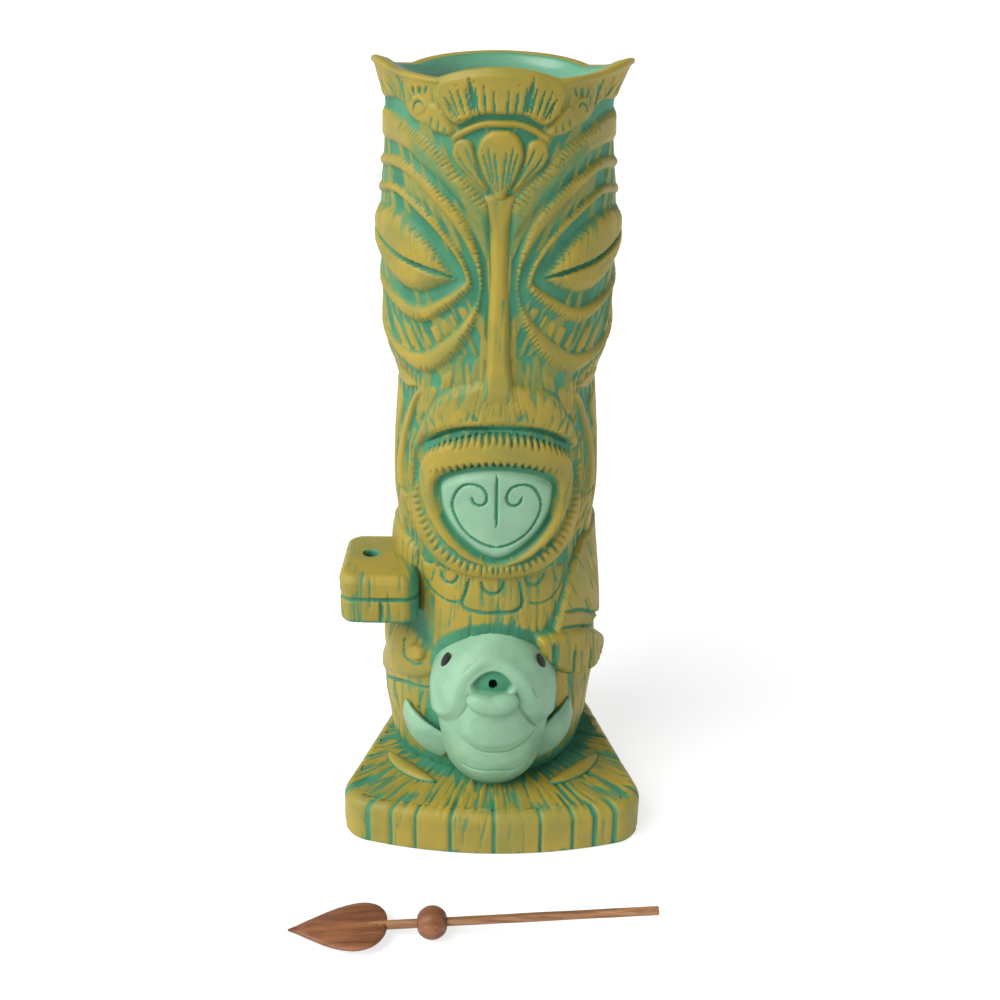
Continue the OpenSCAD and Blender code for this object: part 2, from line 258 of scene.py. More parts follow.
class Relief:
    """Carving on an unrolled wall, in mm: how high each place stands, and how bare it was wiped."""

    def __init__(self, s, z):
        self.s, self.z = s, z
        self.height = np.zeros(s.shape)
        self.bare = np.zeros(s.shape)

    def close(self, line, reach):
        (s0, z0), (s1, z1) = line.min(0) - reach, line.max(0) + reach
        return np.flatnonzero((self.s > s0) & (self.s < s1) & (self.z > z0) & (self.z < z1))

    def raised(self, top, low, rise, width, teeth=(), fade=None, strength=1.0):
        """A band or petal between two edges, rounded over a width, with saw-cuts along its edges."""
        edges = {"top": flowing(top), "low": flowing(low)}
        ring = np.concatenate([edges["top"], edges["low"][::-1]])
        at = self.close(ring, 0.1)
        s, z = self.s[at], self.z[at]
        gap, _ = along(np.concatenate([ring, ring[:1]]), s, z)
        gap = np.where(inside(ring, s, z), gap, 0)
        share = np.sin(np.clip(gap / width, 0, 1) * math.pi / 2)
        depth = share.copy()
        for edge, pitch, length, lean in teeth:
            e, t = along(edges[edge], s, z)
            turn = (t + lean * e) / pitch + 0.5 * grain(t / 7, 0 * t, 5)
            cut = (0.5 + 0.5 * np.cos(2 * math.pi * turn)) ** 1.3
            reach = length * (0.65 + 0.6 * chance(np.round(turn), 0 * t, 9))
            notch = smooth(2.2 * np.clip(cut - e / reach, 0, 1))
            share = share * (1 - notch)
            depth = depth * (1 - 0.4 * notch)
        bare = share * strength
        if fade is not None:
            e, _ = along(edges["top"], s, z)
            bare = bare * (1 - fade[0] * smooth(e / fade[1]) * smooth((s - fade[2]) / 10))
        self.bare[at] = np.where(gap > 0, np.maximum(self.bare[at], bare), self.bare[at])
        self.height[at] = np.maximum(self.height[at], rise * depth)

    def cut(self, points, width, depth, taper=2.0, closed=False):
        """A tool cut along a line, pointed at both ends."""
        line = flowing(points, closed)
        at = self.close(line, width)
        gap, t = along(line, self.s[at], self.z[at])
        whole = np.hypot(*np.diff(line, axis=0).T).sum()
        half = width / 2 * (1 if closed else np.clip(np.minimum(t, whole - t) / taper, 0.15, 1))
        groove = np.clip(1 - (gap / half) ** 2, 0, 1)
        self.height[at] -= depth * groove
        self.bare[at] *= 1 - smooth(2 * groove)

    def strokes(self, where, across, down, pitch, length, rise, strength, seed, gate=(0.5, 0.75)):
        """Raised strokes, wiped bare, in a green ground."""
        n = grain(across / pitch, down / length, seed)
        ridge = smooth((n - gate[0]) / (gate[1] - gate[0])) * where
        self.height += rise * ridge
        self.bare = np.maximum(self.bare, ridge * strength)

    def scores(self, where, across, down, pitch, length, depth, strength, seed, gate=(0.64, 0.9)):
        """Fine green scores in a bare ground."""
        shift = 2.5 * grain(across / 4, 0 * down, seed + 3)
        sway = 0.3 * grain(across / 5, down / 5, seed + 1)
        n = grain(across / pitch + sway, down / (2.6 * length) + shift, seed)
        breaks = smooth((grain(across / 2.1, down / 6 + shift, seed + 2) - 0.3) / 0.3)
        line = smooth((1 - np.abs(2 * n - 1) - gate[0]) / (gate[1] - gate[0])) * breaks * where
        self.height -= depth * line
        self.bare *= 1 - strength * line

    def area(self, outline, soft=1.0):
        """1 well inside a closed outline, 0 outside it."""
        line = flowing(outline, closed=True)
        at = self.close(line, 0.1)
        share = np.zeros(self.s.shape)
        gap, _ = along(line, self.s[at], self.z[at])
        share[at] = np.where(inside(line, self.s[at], self.z[at]), smooth(gap / soft), 0)
        return share


def profile(points):
    """Radius of the wall against its height, through given points."""
    line = flowing(points, step=1.0)
    return lambda z: np.interp(z, line[:, 0], line[:, 1])


side_wall = profile([(94, 32.6), (100, 32.4), (107, 32.8), (116, 33.6), (131, 33.2), (142, 32.4),
                     (150, 31.8), (155, 32.0), (159, 33.2), (164, 35.0), (172, 35.8), (192, 36.4),
                     (206, 36.2), (214, 35.6), (222, 34.8), (230, 34.2), (238, 34.2), (244, 35.4),
                     (250, 36.8)])
front_wall = profile([(94, 33.8), (98, 35.4), (106, 36.4), (122, 36.6), (140, 36.8), (152, 36.4),
                      (162, 35.6), (176, 35.6), (192, 36.0), (206, 36.4), (216, 37.0), (232, 37.2),
                      (242, 37.4), (250, 38.4)])
back_wall = profile([(94, 34.4), (120, 35.2), (150, 35.4), (180, 36.4), (220, 37.0), (240, 37.2),
                     (250, 38.4)])


def angle_of(co):
    """Angle of each point round an upright axis, from the front, in degrees."""
    return np.degrees(np.arctan2(co[:, 0], -co[:, 1]))


def head_radius(angle, z):
    """The head's wall under its carving; angle from the face, in degrees."""
    a = np.abs(angle)
    lean = np.where(angle < 0, 0.2, 2.2)
    ear = np.exp(-((a - 80) / 24) ** 2) * lean * np.clip((z - 238) / 12, 0, 2) ** 1.4
    sides = smooth((a - 22) / 40)
    back = smooth((a - 115) / 45)
    front = front_wall(z) * (1 - sides) + side_wall(z) * sides
    return front * (1 - back) + back_wall(z) * back + ear


def rim_height(angle):
    """Height of the petal rim: an arch in front and behind, and a pointed ear at each side."""
    a = np.abs(angle)
    line = flowing([(26, 4.0), (38, 3.4), (52, 2.5), (62, 1.2), (70, 0.25), (77, 0.0), (85, 0.3),
                    (96, 1.5), (112, 3.2), (130, 4.0)], step=2.0)
    drop = np.interp(a, line[:, 0], line[:, 1])
    drop = np.where(a < 26, 0.9 + 3.1 * (a / 26) ** 2, drop)
    drop = np.where(a > 130, 0.9 + 3.1 * ((180 - a) / 50) ** 2, drop)
    return RIM - drop


def carve_head(s, z):
    """The whole face. Outlines are drawn on its right half and serve for both halves."""
    face = Relief(-np.abs(s - TURN), z)
    s = face.s
    # the whole ground is hatched with a fine gouge before anything is raised from it
    ground = smooth((236 - z) / 3) * smooth((-2.5 - s) / 2)
    slant = s + np.where(z > 168, 0.42, -0.12) * z
    face.strokes(ground, slant, z + 0.5 * s, 1.45, 7, 0.4, 0.42, 6, (0.42, 0.66))
    # crown
    face.raised([(-120, 256), (-80, 256), (-40, 256), (10, 256)],
                [(-120, 238.5), (-80, 238.5), (-50, 238.5), (-41, 239), (-34, 238.5), (-28, 234.5),
                 (-20, 233), (-10, 238), (10, 238)], 1.0, 1.6)
    crown = face.area([(-120, 256), (-120, 239), (-60, 239), (-34, 239), (-18, 236), (8, 240), (8, 256)])
    face.scores(crown * (z < rim_height(s / UNROLL * 57.3) - 3), s, z, 1.1, 9, 0.35, 0.85, 31)
    for line in ([(-33, 246.5), (-31.5, 240.5), (-30, 237)], [(-26.5, 244), (-26, 240)],
                 [(-23.5, 244), (-24.3, 240.6)], [(-20.5, 244), (-22, 241)],
                 [(-41.5, 244), (-37, 239.5)], [(-47, 245), (-43, 239.5)], [(-36, 244), (-35, 241)],
                 [(-53, 246), (-51, 239.5)], [(-58, 246), (-57.5, 240)]):
        face.cut(line, 1.3, 0.6)
    face.raised([(-28.5, 236.5), (-27, 240.3), (-24.5, 241.5), (-21.5, 240.5), (-20, 238.5)],
                [(-27, 236), (-25.3, 235.2), (-22.5, 236), (-20.6, 237.5)], 1.4, 0.9)
    face.cut([(-26.3, 236.6), (-25.6, 238.8), (-23.4, 239.4), (-22, 238)], 0.9, 0.6, 1.0)
    # fan petal over the brow, and the small petal beside it
    face.raised([(-20.5, 239.5), (-18.5, 239.6), (-16, 237.5), (-13, 234)],
                [(-22.5, 236), (-22.5, 234.3), (-20, 232), (-16.5, 231), (-13.5, 231), (-12, 232.2)],
                1.5, 1.4)
    for line in ([(-20, 232), (-18.8, 236.5)], [(-17.4, 231.4), (-16.8, 235.5)], [(-15.2, 231), (-15, 234)]):
        face.cut(line, 0.8, 0.4, 1.5)
    face.raised([(-16.2, 246.5), (-10, 253), (0, 254), (20, 254)],
                [(-17.4, 244), (-18, 241), (-16.6, 238), (-14.5, 235.2), (-12, 233.8), (-10, 234.4),
                 (-7, 236), (-4, 236.8), (0, 236.8), (20, 236.8)], 2.1, 1.3)
    for foot, head, top in ((-1.6, -1.9, 243), (-3.6, -4.4, 244.6), (-5.4, -6.9, 245.6), (-7.1, -9.4, 245),
                            (-8.9, -11.6, 244.4), (-10.6, -13.6, 243.6), (-12.6, -15.2, 241.4)):
        face.cut([(foot, 235.4), ((foot + head) / 2, 239.5), (head, top)], 1.0, 0.6, 4)
    for line in ([(-8.2, 246.5), (-6.6, 236.6)], [(8, 246.5), (6.6, 236.6)]):
        face.cut(line, 1.6, 0.9, 3)
    face.cut([(-14.6, 241), (-11, 235)], 0.9, 0.5)
    # arch, and the three petals under it
    face.raised([(-13.8, 231.2), (-9, 234), (-4.5, 235.4), (0, 235.6), (20, 235.6)],
                [(-13.2, 228.8), (-9, 231.6), (-4.5, 233.4), (0, 233.5), (20, 233.5)], 1.3, 0.8)
    face.raised([(-13.6, 226.6), (-12.6, 229.6), (-10, 230.6), (-7.6, 229.6), (-6.7, 226.6), (-6, 223.4),
                 (-4.8, 220.6), (-3, 217)],
                [(-13.6, 225.6), (-12, 223), (-9.4, 220.8), (-6.6, 218.4), (-3.4, 216)], 1.4, 1.1)
    face.raised([(20, 233.4), (0, 233.2), (-3, 232.6), (-5, 231.2), (-6.2, 229), (-6.6, 226.4)],
                [(20, 213.5), (0, 213.5), (-2, 216), (-4.2, 219.6), (-5.6, 223), (-6.5, 225.6)],
                1.9, 1.4)
    for foot, head, top in ((-1.0, -1.7, 228), (-2.2, -3.4, 229), (-3.2, -4.8, 227.6)):
        face.cut([(foot * 0.6, 217), (foot, 222), (head, top)], 0.8, 0.5, 3)
    for line in ([(-4.6, 219), (-8, 225), (-9.4, 228.6)], [(-6, 219.4), (-10, 223.6), (-11.8, 227)]):
        face.cut(line, 0.8, 0.45, 2)
    # three brow ridges
    face.raised([(-76, 231), (-60, 235.5), (-45.5, 236.4), (-37.5, 235.6), (-31, 234), (-24.5, 232),
                 (-19.5, 229.4), (-15.5, 226.6), (-12, 223), (-8, 219.5), (-5, 216.4), (-2, 213.6)],
                [(-76, 230), (-60, 227), (-41.5, 226.6), (-31, 225.4), (-25, 222.6), (-18, 218.6),
                 (-12.5, 213.5), (-9, 209.5), (-6, 205), (-3.4, 201)], 1.5, 2.6,
                [("top", 1.45, 4.2, 0.3)], (0.75, 5.5, -34))
    face.raised([(-76, 221), (-60, 222), (-51, 222.6), (-41.5, 224), (-36, 224.2), (-30, 223),
                 (-25, 221.2), (-20.5, 219), (-16.5, 216), (-12.5, 212.4), (-9.6, 208.8),
                 (-7.6, 205), (-6.2, 201), (-5.2, 197), (-4.6, 193), (-4.6, 188)],
                [(-76, 220.4), (-60, 219), (-50, 218.8), (-39, 219.8), (-32.5, 219.2), (-27.5, 217.6),
                 (-23.5, 215.4), (-19, 211.8), (-15.5, 208.4), (-12.5, 204.8), (-10, 201),
                 (-8, 197.5), (-6.8, 194), (-6.2, 190), (-6.2, 186)], 1.7, 2.0,
                [("top", 1.4, 2.4, 0.3)])
    face.raised([(-76, 213), (-60, 213.6), (-51.5, 214.5), (-40, 216), (-34, 215.6), (-28.5, 213.6),
                 (-23.5, 211), (-20, 208.4), (-17, 205.6), (-14, 202.4), (-11.4, 199),
                 (-9.4, 195.5), (-8.2, 192), (-7.8, 188.6)],
                [(-76, 212.6), (-60, 211), (-52.5, 211), (-39.5, 213), (-33, 212.2), (-27.5, 209.8),
                 (-23.5, 207.4), (-20, 204.8), (-17, 202), (-14, 198.6), (-11.8, 195.4),
                 (-10.3, 192), (-9.8, 189)], 1.5, 1.3, [("top", 1.4, 1.5, 0.3)])
    # closed eye
    face.raised([(-70, 204), (-58, 207.5), (-51.5, 208.6), (-46.5, 209.4), (-39.5, 209.8),
                 (-34, 209), (-29, 207.2), (-25, 204.8), (-21.5, 202.2), (-18.5, 199.4),
                 (-16, 196.4), (-13.8, 193.6), (-12, 191.4)],
                [(-70, 199), (-60, 196.5), (-48, 193), (-42, 190), (-36, 187), (-31, 185.4),
                 (-25.5, 185.2), (-21, 186.4), (-16.5, 188.4), (-12.5, 190.6)], 2.9, 5.0,
                [("top", 1.5, 3.0, 0.5), ("low", 1.5, 1.6, 0)])
    lids = face.area([(-70, 204), (-51.5, 208.6), (-39.5, 209.8), (-29, 207.2), (-21.5, 202.2),
                      (-12.5, 191), (-21, 186.4), (-31, 185.4), (-42, 190), (-60, 196.5)])
    face.scores(lids, s + 0.15 * z, z, 1.05, 8, 0.2, 0.6, 18)
    face.cut([(-70, 202.6), (-58, 202.2), (-50, 201.4), (-41.5, 198.7), (-35, 196.5), (-29, 194.8),
              (-23, 193.7), (-18.5, 192.7), (-13, 191.2)], 1.9, 1.8, 5)
    face.raised([(-70, 192), (-58, 190), (-45, 186), (-38, 184), (-33.5, 182.6), (-29, 181.6),
                 (-24.5, 182), (-20, 184), (-16, 186.4), (-13, 188.4), (-9.6, 191)],
                [(-70, 190.6), (-58, 188), (-48.5, 183.6), (-41, 180.6), (-36.5, 178.6),
                 (-32, 177), (-28, 176), (-25, 176.2), (-21, 177.6), (-17, 180.2), (-12, 184),
                 (-8, 188)], 1.9, 2.2, [("low", 1.45, 2.8, -0.2)])
    # cheek
    face.raised([(-66, 182), (-56, 177), (-46.5, 172), (-41, 169.4), (-35.5, 168), (-30, 167.2),
                 (-24.5, 168), (-21, 170), (-17, 173), (-13, 176.6), (-10, 180.4), (-7.4, 184.4),
                 (-6.2, 188)],
                [(-66, 179), (-56, 172), (-46, 166.5), (-37.5, 162.6), (-32, 160.8), (-27.5, 160),
                 (-23, 160.4), (-19.5, 162), (-15.5, 164.8), (-11.5, 168.8), (-8.5, 173.5),
                 (-6.5, 178), (-5.4, 182.5), (-4.8, 187)], 2.0, 3.2,
                [("low", 1.45, 3.4, -0.5)])
    above_cheek = face.area([(-66, 186), (-48, 182), (-36, 177), (-28, 174.6), (-20, 177), (-12, 183),
                             (-9, 181), (-14, 175), (-21, 169.6), (-30, 166.4), (-42, 169), (-58, 177)])
    face.strokes(above_cheek, s + 0.6 * z, z, 1.5, 9, 0.5, 0.75, 7)
    between = face.area([(-40, 222), (-24, 217), (-12, 206), (-8, 196), (-11, 199), (-22, 210.5),
                         (-34, 216.4), (-44, 217)])
    face.strokes(between, s + 0.5 * z, z, 1.6, 7, 0.35, 0.35, 8)
    # strokes beside the nose and down to the muzzle
    flank = face.area([(-4, 206), (-2.2, 200), (-1.8, 170), (-3, 160), (-8, 150), (-22, 148),
                       (-14, 160), (-8, 170), (-4.6, 184), (-4, 194)])
    face.strokes(flank, s * (1 + 0.01 * (200 - z)), z, 0.9, 14, 0.35, 0.75, 21, (0.42, 0.7))
    under_cheek = face.area([(-12, 165), (-19, 160.6), (-27, 158.6), (-36, 161), (-50, 166), (-60, 170),
                             (-60, 154), (-40, 157.6), (-30, 152), (-25, 147), (-19, 155), (-12, 159)])
    face.strokes(under_cheek, s - 0.1 * z, z, 1.25, 8, 0.5, 0.95, 22, (0.4, 0.62))
    # ear: a wedge, a long crescent and the panel behind it
    face.raised([(-46, 158.5), (-37.5, 157.2), (-30, 155.4)], [(-46, 153), (-38, 152.4), (-30, 154.8)],
                1.3, 1.2)
    face.raised([(-24.5, 155.6), (-30, 154), (-34.5, 150), (-38, 144.5), (-41.5, 137.5), (-44, 131),
                 (-45.5, 124), (-45, 117)],
                [(-25, 154.6), (-28.8, 151.2), (-32, 147.2), (-34.6, 142), (-37.4, 136), (-39, 130),
                 (-39.2, 124), (-38.4, 117)], 1.7, 1.5)
    face.raised([(-120, 152), (-75, 152), (-56, 152), (-47, 150), (-42.8, 146), (-45, 139),
                 (-47.4, 131), (-48.6, 122), (-46, 112), (-42, 106)],
                [(-120, 92), (-75, 92), (-50, 92), (-42, 92)], 1.1, 1.4)
    panel = face.area([(-75, 152), (-47, 150), (-44, 142), (-48, 122), (-44, 106), (-75, 100)])
    face.scores(panel, s, z, 1.5, 14, 0.4, 0.75, 23)
    inner_ear = face.area([(-24, 152.4), (-30, 146), (-34, 138), (-36.6, 130), (-37, 120), (-36, 108),
                           (-30, 106), (-33.6, 116), (-34.6, 126), (-33, 135), (-27, 145)], 0.8)
    face.strokes(inner_ear, s + 0.3 * z, z, 1.15, 12, 0.6, 0.95, 24, (0.4, 0.62))
    # muzzle, lips and jaw
    face.raised([(20, 162), (0, 162), (-8.5, 160), (-17, 156.4), (-21.5, 151.8), (-26.5, 145.4),
                 (-30.5, 139), (-33, 132), (-33.8, 125.5), (-33.4, 118), (-31, 111), (-27, 105)],
                [(20, 146.4), (0, 146.4), (-4, 146.2), (-9.5, 145.6), (-15, 144), (-20, 141.4),
                 (-24.6, 138.4), (-27.6, 134.4), (-29.4, 129.5), (-30, 124), (-29, 117.5),
                 (-26.4, 111.5), (-24, 108)], 2.4, 3.0, [("low", 1.8, 1.8, 0)])
    muzzle = face.area([(20, 162), (0, 162), (-8.5, 160), (-21, 151.8), (-30, 139), (-33.6, 125),
                        (-31, 111), (-29, 117), (-30, 127), (-24, 139.6), (-10, 147.4), (0, 148),
                        (20, 148)])
    flow = np.degrees(np.arctan2(s, z - 96))
    face.scores(muzzle, flow * 0.75, z, 1.1, 5, 0.35, 0.8, 25)
    face.scores(muzzle, s - 0.2 * z, z, 1.5, 4, 0.3, 0.75, 28)
    face.raised([(20, 145), (0, 145), (-7, 144.2), (-14, 141.8), (-20, 138.8), (-24.6, 135.4),
                 (-27.4, 131), (-28.2, 126), (-27.2, 120), (-24.6, 114), (-20.4, 108.4),
                 (-15, 103.6), (-9.5, 100.2), (-4, 98.6), (0, 98.2), (20, 98.2)],
                [(20, 133.4), (0, 133.4), (-7.5, 132.8), (-12, 131.4), (-16.5, 129.2),
                 (-19.6, 126.6), (-20.4, 121.5), (-18.8, 115.4), (-14.6, 109.4), (-8.6, 103.8),
                 (-4, 101), (0, 100), (20, 100)], 2.2, 2.6)
    ring_top = smooth((z - 128) / 4) * smooth((s + 24) / 3)
    upper = face.area([(20, 146), (0, 146), (-9, 145), (-19, 141), (-26, 136), (-23, 133),
                       (-15, 138), (0, 140), (20, 140)], 0.6)
    strand = 0.5 + 0.5 * np.cos(2 * math.pi * (s / 2.05 + 0.3 * grain(s / 6, 0 * s, 3)))
    reach = 4.0 + 2.5 * chance(np.round(s / 2.05), 0 * s, 4)
    gaps = smooth(2.0 * np.clip(strand ** 0.8 - (145 - 0.011 * s * s - z) / reach, 0, 1)) * upper
    hung = 133.4 - 0.0125 * s * s
    fringe = smooth(2.2 * np.clip((0.5 - 0.5 * np.cos(2 * math.pi * s / 2.2)) - (z - hung) / 3.0, 0, 1))
    fringe = fringe * ring_top * (z < 138)
    for cuts, depth in ((gaps, 1.5), (fringe, 1.7)):
        face.height -= depth * cuts * (face.height > 0.4)
        face.bare *= 1 - cuts
    ring_side = face.area([(-28, 129), (-26.6, 118), (-19, 107), (-10, 100.4), (-13, 105), (-20, 114),
                           (-22.4, 124), (-24, 131)])
    face.scores(ring_side, s + 0.35 * (z - 110), z, 1.2, 9, 0.4, 0.8, 26)
    face.raised([(20, 99.6), (0, 99.6), (-8, 100), (-14, 102.4), (-19.5, 106.4), (-24, 111.4),
                 (-27.4, 117.4), (-29, 124)],
                [(20, 93), (0, 93), (-9.5, 93.6), (-16.5, 95.8), (-23, 99.4), (-28.6, 104),
                 (-32.4, 110.6), (-33.4, 118)], 2.0, 1.8, [("top", 2.1, 5.2, 0)])
    outer_jaw = face.area([(-33, 118), (-31.6, 109), (-27, 102.6), (-31.5, 103), (-43.5, 108),
                           (-44, 116), (-38.6, 116)], 0.8)
    face.strokes(outer_jaw, s + 0.45 * z, z, 1.3, 12, 0.7, 0.95, 27, (0.36, 0.6))
    hole = face.area([(20, 133.6), (0, 133.6), (-11.5, 131.6), (-20, 126.8), (-20.6, 121.5),
                      (-18.8, 115), (-12, 106.6), (0, 99.8), (20, 99.8)], 0.6)
    face.height -= 1.4 * hole
    # lip line
    face.cut([(12, 145), (6, 146), (0, 146.2), (-6, 146), (-12, 145), (-18, 142.4), (-24.6, 138.2)],
             1.6, 1.5, 6)
    # the carving flattens towards the sides
    face.height *= 1 - 0.45 * smooth((-s - 44) / 14)
    # back of the head: plain vertical strokes
    behind = smooth((-s - 74) / 8) * smooth((236 - z) / 3)
    face.height *= 1 - behind
    face.bare *= 1 - behind
    face.strokes(behind, s, z, 2.1, 22, 0.8, 0.95, 41, (0.34, 0.56))
    face.height += 0.12 * (grain(s / 2.2, z / 2.6, 51) - 0.5)
    return face


def glaze():
    """Wiped two-colour glaze, steered by how bare each place was wiped."""
    clay = Finish("wiped_olive_glaze", Roughness=0.5, Specular_IOR_Level=0.3)
    bare = clay.attribute("bare")
    cloud, fine = clay.noise(70, 3), clay.noise(1500, 2)
    mask = (bare + (fine - 0.5) * 0.35 + (clay.noise(420, 2) - 0.5) * 0.25).between(0.22, 0.62)
    olive = clay.mix(cloud.between(0.35, 0.68), (0.295, 0.225, 0.028, 1), (0.215, 0.195, 0.034, 1))
    green = clay.mix(cloud.between(0.3, 0.7), (0.028, 0.150, 0.078, 1), (0.052, 0.225, 0.125, 1))
    half = clay.mix(bare.between(0.0, 0.35), green, (0.100, 0.185, 0.062, 1))
    lining = clay.attribute("lining")
    wiped = clay.mix(mask, half, olive)
    clay.feed(clay.shader.inputs["Base Color"], clay.mix(lining, wiped, (0.130, 0.330, 0.210, 1)))
    clay.feed(clay.shader.inputs["Roughness"], 0.62 - 0.12 * mask + 0.1 * (fine - 0.5) - 0.42 * lining)
    clay.bump(fine * 0.7 + clay.noise(3600, 2) * 0.3, 0.00008)
    return clay.material


olive_glaze = glaze()


def turned(outline, start, sweep, steps):
    """Spins a closed outline of (radius, height) in mm round the axis of the mug.
    The vertex layer "row" keeps each point's place along the outline."""
    bm = bmesh.new()
    row = bm.verts.layers.float.new("row")
    turn = Matrix.Rotation(math.radians(start), 3, "Z")
    ring = [bm.verts.new(turn @ Vector((0, -r * MM, z * MM))) for r, z in outline]
    for i, v in enumerate(ring):
        v[row] = i
    edges = [bm.edges.new(pair) for pair in zip(ring, ring[1:] + ring[:1])]
    whole = sweep == 360
    out = bmesh.ops.spin(bm, geom=ring + edges, cent=(0, 0, 0), axis=(0, 0, 1),
                         angle=math.radians(sweep), steps=steps, use_merge=whole)
    if not whole:
        last = [e for e in out["geom_last"] if isinstance(e, bmesh.types.BMEdge)]
        for end in (edges, last):
            for face in bmesh.ops.contextual_create(bm, geom=end)["faces"]:
                for e in face.edges:
                    e.smooth = False
    bmesh.ops.recalc_face_normals(bm, faces=bm.faces)
    return bm


def finished(name, bm, material, slot, body, *nodes):
    """Makes the piece from its mesh, smooth-shaded, and hands it to its body."""
    piece = made(name, bm, material)
    for polygon in piece.data.polygons:
        polygon.use_smooth = True
    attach(piece, body)
    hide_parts(*nodes)
    return piece


def points_of(mesh):
    co = np.zeros(len(mesh.vertices) * 3)
    mesh.vertices.foreach_get("co", co)
    return co.reshape(-1, 3) / MM


def reshape(mesh, co):
    mesh.vertices.foreach_set("co", (co * MM).ravel())
    mesh.update()


def rows_of(mesh):
    """Each point's place along the outline that was spun."""
    row = np.zeros(len(mesh.vertices), np.float32)
    mesh.attributes["row"].data.foreach_get("value", row)
    return np.round(row).astype(int)


def wrap(mesh, radius, angle, z, axis=(0.0, 0.0)):
    """Puts every point at its radius from an upright axis."""
    a = np.radians(angle)
    reshape(mesh, np.stack([axis[0] + radius * np.sin(a), axis[1] - radius * np.cos(a), z], 1))


def mark(mesh, name, values):
    """Keeps a value for every point of a mesh, for its material to read."""
    layer = mesh.attributes.new(name, "FLOAT", "POINT")
    layer.data.foreach_set("value", np.full(len(mesh.vertices), values, np.float32))


def head_outline(step):
    """Closed outline of the head's wall: up the outside, over the lip and down the inside."""
    outside = [(UNROLL, z) for z in np.arange(JAW, RIM - 1.6, step)]
    lip = [(UNROLL - r, RIM - d) for r, d in ((0.0, 1.5), (0.15, 0.8), (0.6, 0.25), (1.3, 0.0), (2.2, 0.0),
                                           (3.0, 0.25), (3.5, 0.8), (3.8, 1.6), (4.2, 3.0))]
    inside_wall = [(UNROLL - WALL, z) for z in np.linspace(RIM - 5, JAW, 18)]
    base = [(UNROLL - WALL + k, JAW) for k in (1.2, 2.4, 3.6)]
    return outside + lip + inside_wall + base, len(outside)


def shape_head(name, start, sweep, steps, step):
    outline, outer = head_outline(step)
    bm = turned(outline, start, sweep, steps)
    mesh = finished(name, bm, olive_glaze, "olive_glaze", "mug", "vessel").data
    row = rows_of(mesh)
    co = points_of(mesh)
    angle = angle_of(co)
    inset = UNROLL - np.hypot(co[:, 0], co[:, 1])
    z = co[:, 2]
    # above this height the wall is stretched to meet the petal rim
    high = 232.0
    z = np.where(z > high, high + (z - high) * (rim_height(angle) - high) / (RIM - high), z)
    s = np.radians(angle) * UNROLL
    face = carve_head(s, z)
    # the lip itself is plain, and the carving fades under it
    plain = smooth((rim_height(angle) - z) / 2.6)
    near_lip = np.where(row < outer, face.height * plain + 1.4 * (1 - plain), 1.4)
    lift = np.where(row < outer, np.where(z > 240, near_lip, face.height), 1.4 * (row < outer + 6))
    wrap(mesh, head_radius(angle, z) - inset + lift, angle, z)
    bare = np.where(row < outer, np.where(z > 240, np.maximum(face.bare * plain, 1 - plain), face.bare),
                    (row < outer + 6))
    mark(mesh, "bare", bare)
    mark(mesh, "lining", smooth((row - outer - 5) / 3))


FACE_HALF = 97        # the face's shell ends at this angle, where the plainer back begins
shape_head("head_front", -FACE_HALF, 2 * FACE_HALF, 298, 0.5)
shape_head("head_back", FACE_HALF, 360 - 2 * FACE_HALF, 190, 0.7)

# Torso: the lower half of the same slip-cast mug, with its floor. A bead collar, a pendant plate
# and the carved hips were scratched into the clay before it was fired.
torso_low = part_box("plinth")[1].z / MM - 0.4
torso_front = profile([(15, 33.2), (22, 34.8), (34, 35.8), (50, 36.2), (66, 36.0), (78, 35.4),
                       (88, 34.9), (94, 34.4), (100, 33.2)])
torso_right = profile([(15, 31.6), (22, 33.0), (26, 34.0), (34, 34.8), (42, 35.8), (50, 36.2),
                       (66, 35.6), (78, 34.8), (94, 33.2), (100, 32.6)])
torso_left = profile([(15, 36.6), (22, 37.9), (26, 38.2), (34, 39.4), (42, 39.6), (50, 39.2),
                      (58, 39.4), (64, 37.6), (70, 35.4), (78, 34.8), (94, 34.2), (100, 33.2)])


def torso_radius(angle, z):
    """The torso's wall under its carving; the right leg bulges out further than the left one."""
    sides = smooth((np.abs(angle) - 22) / 45)
    back = smooth((np.abs(angle) - 115) / 50)
    side = np.where(angle < 0, torso_left(z), torso_right(z))
    return (torso_front(z) * (1 - sides) + side * sides) * (1 - back) + torso_front(z) * back


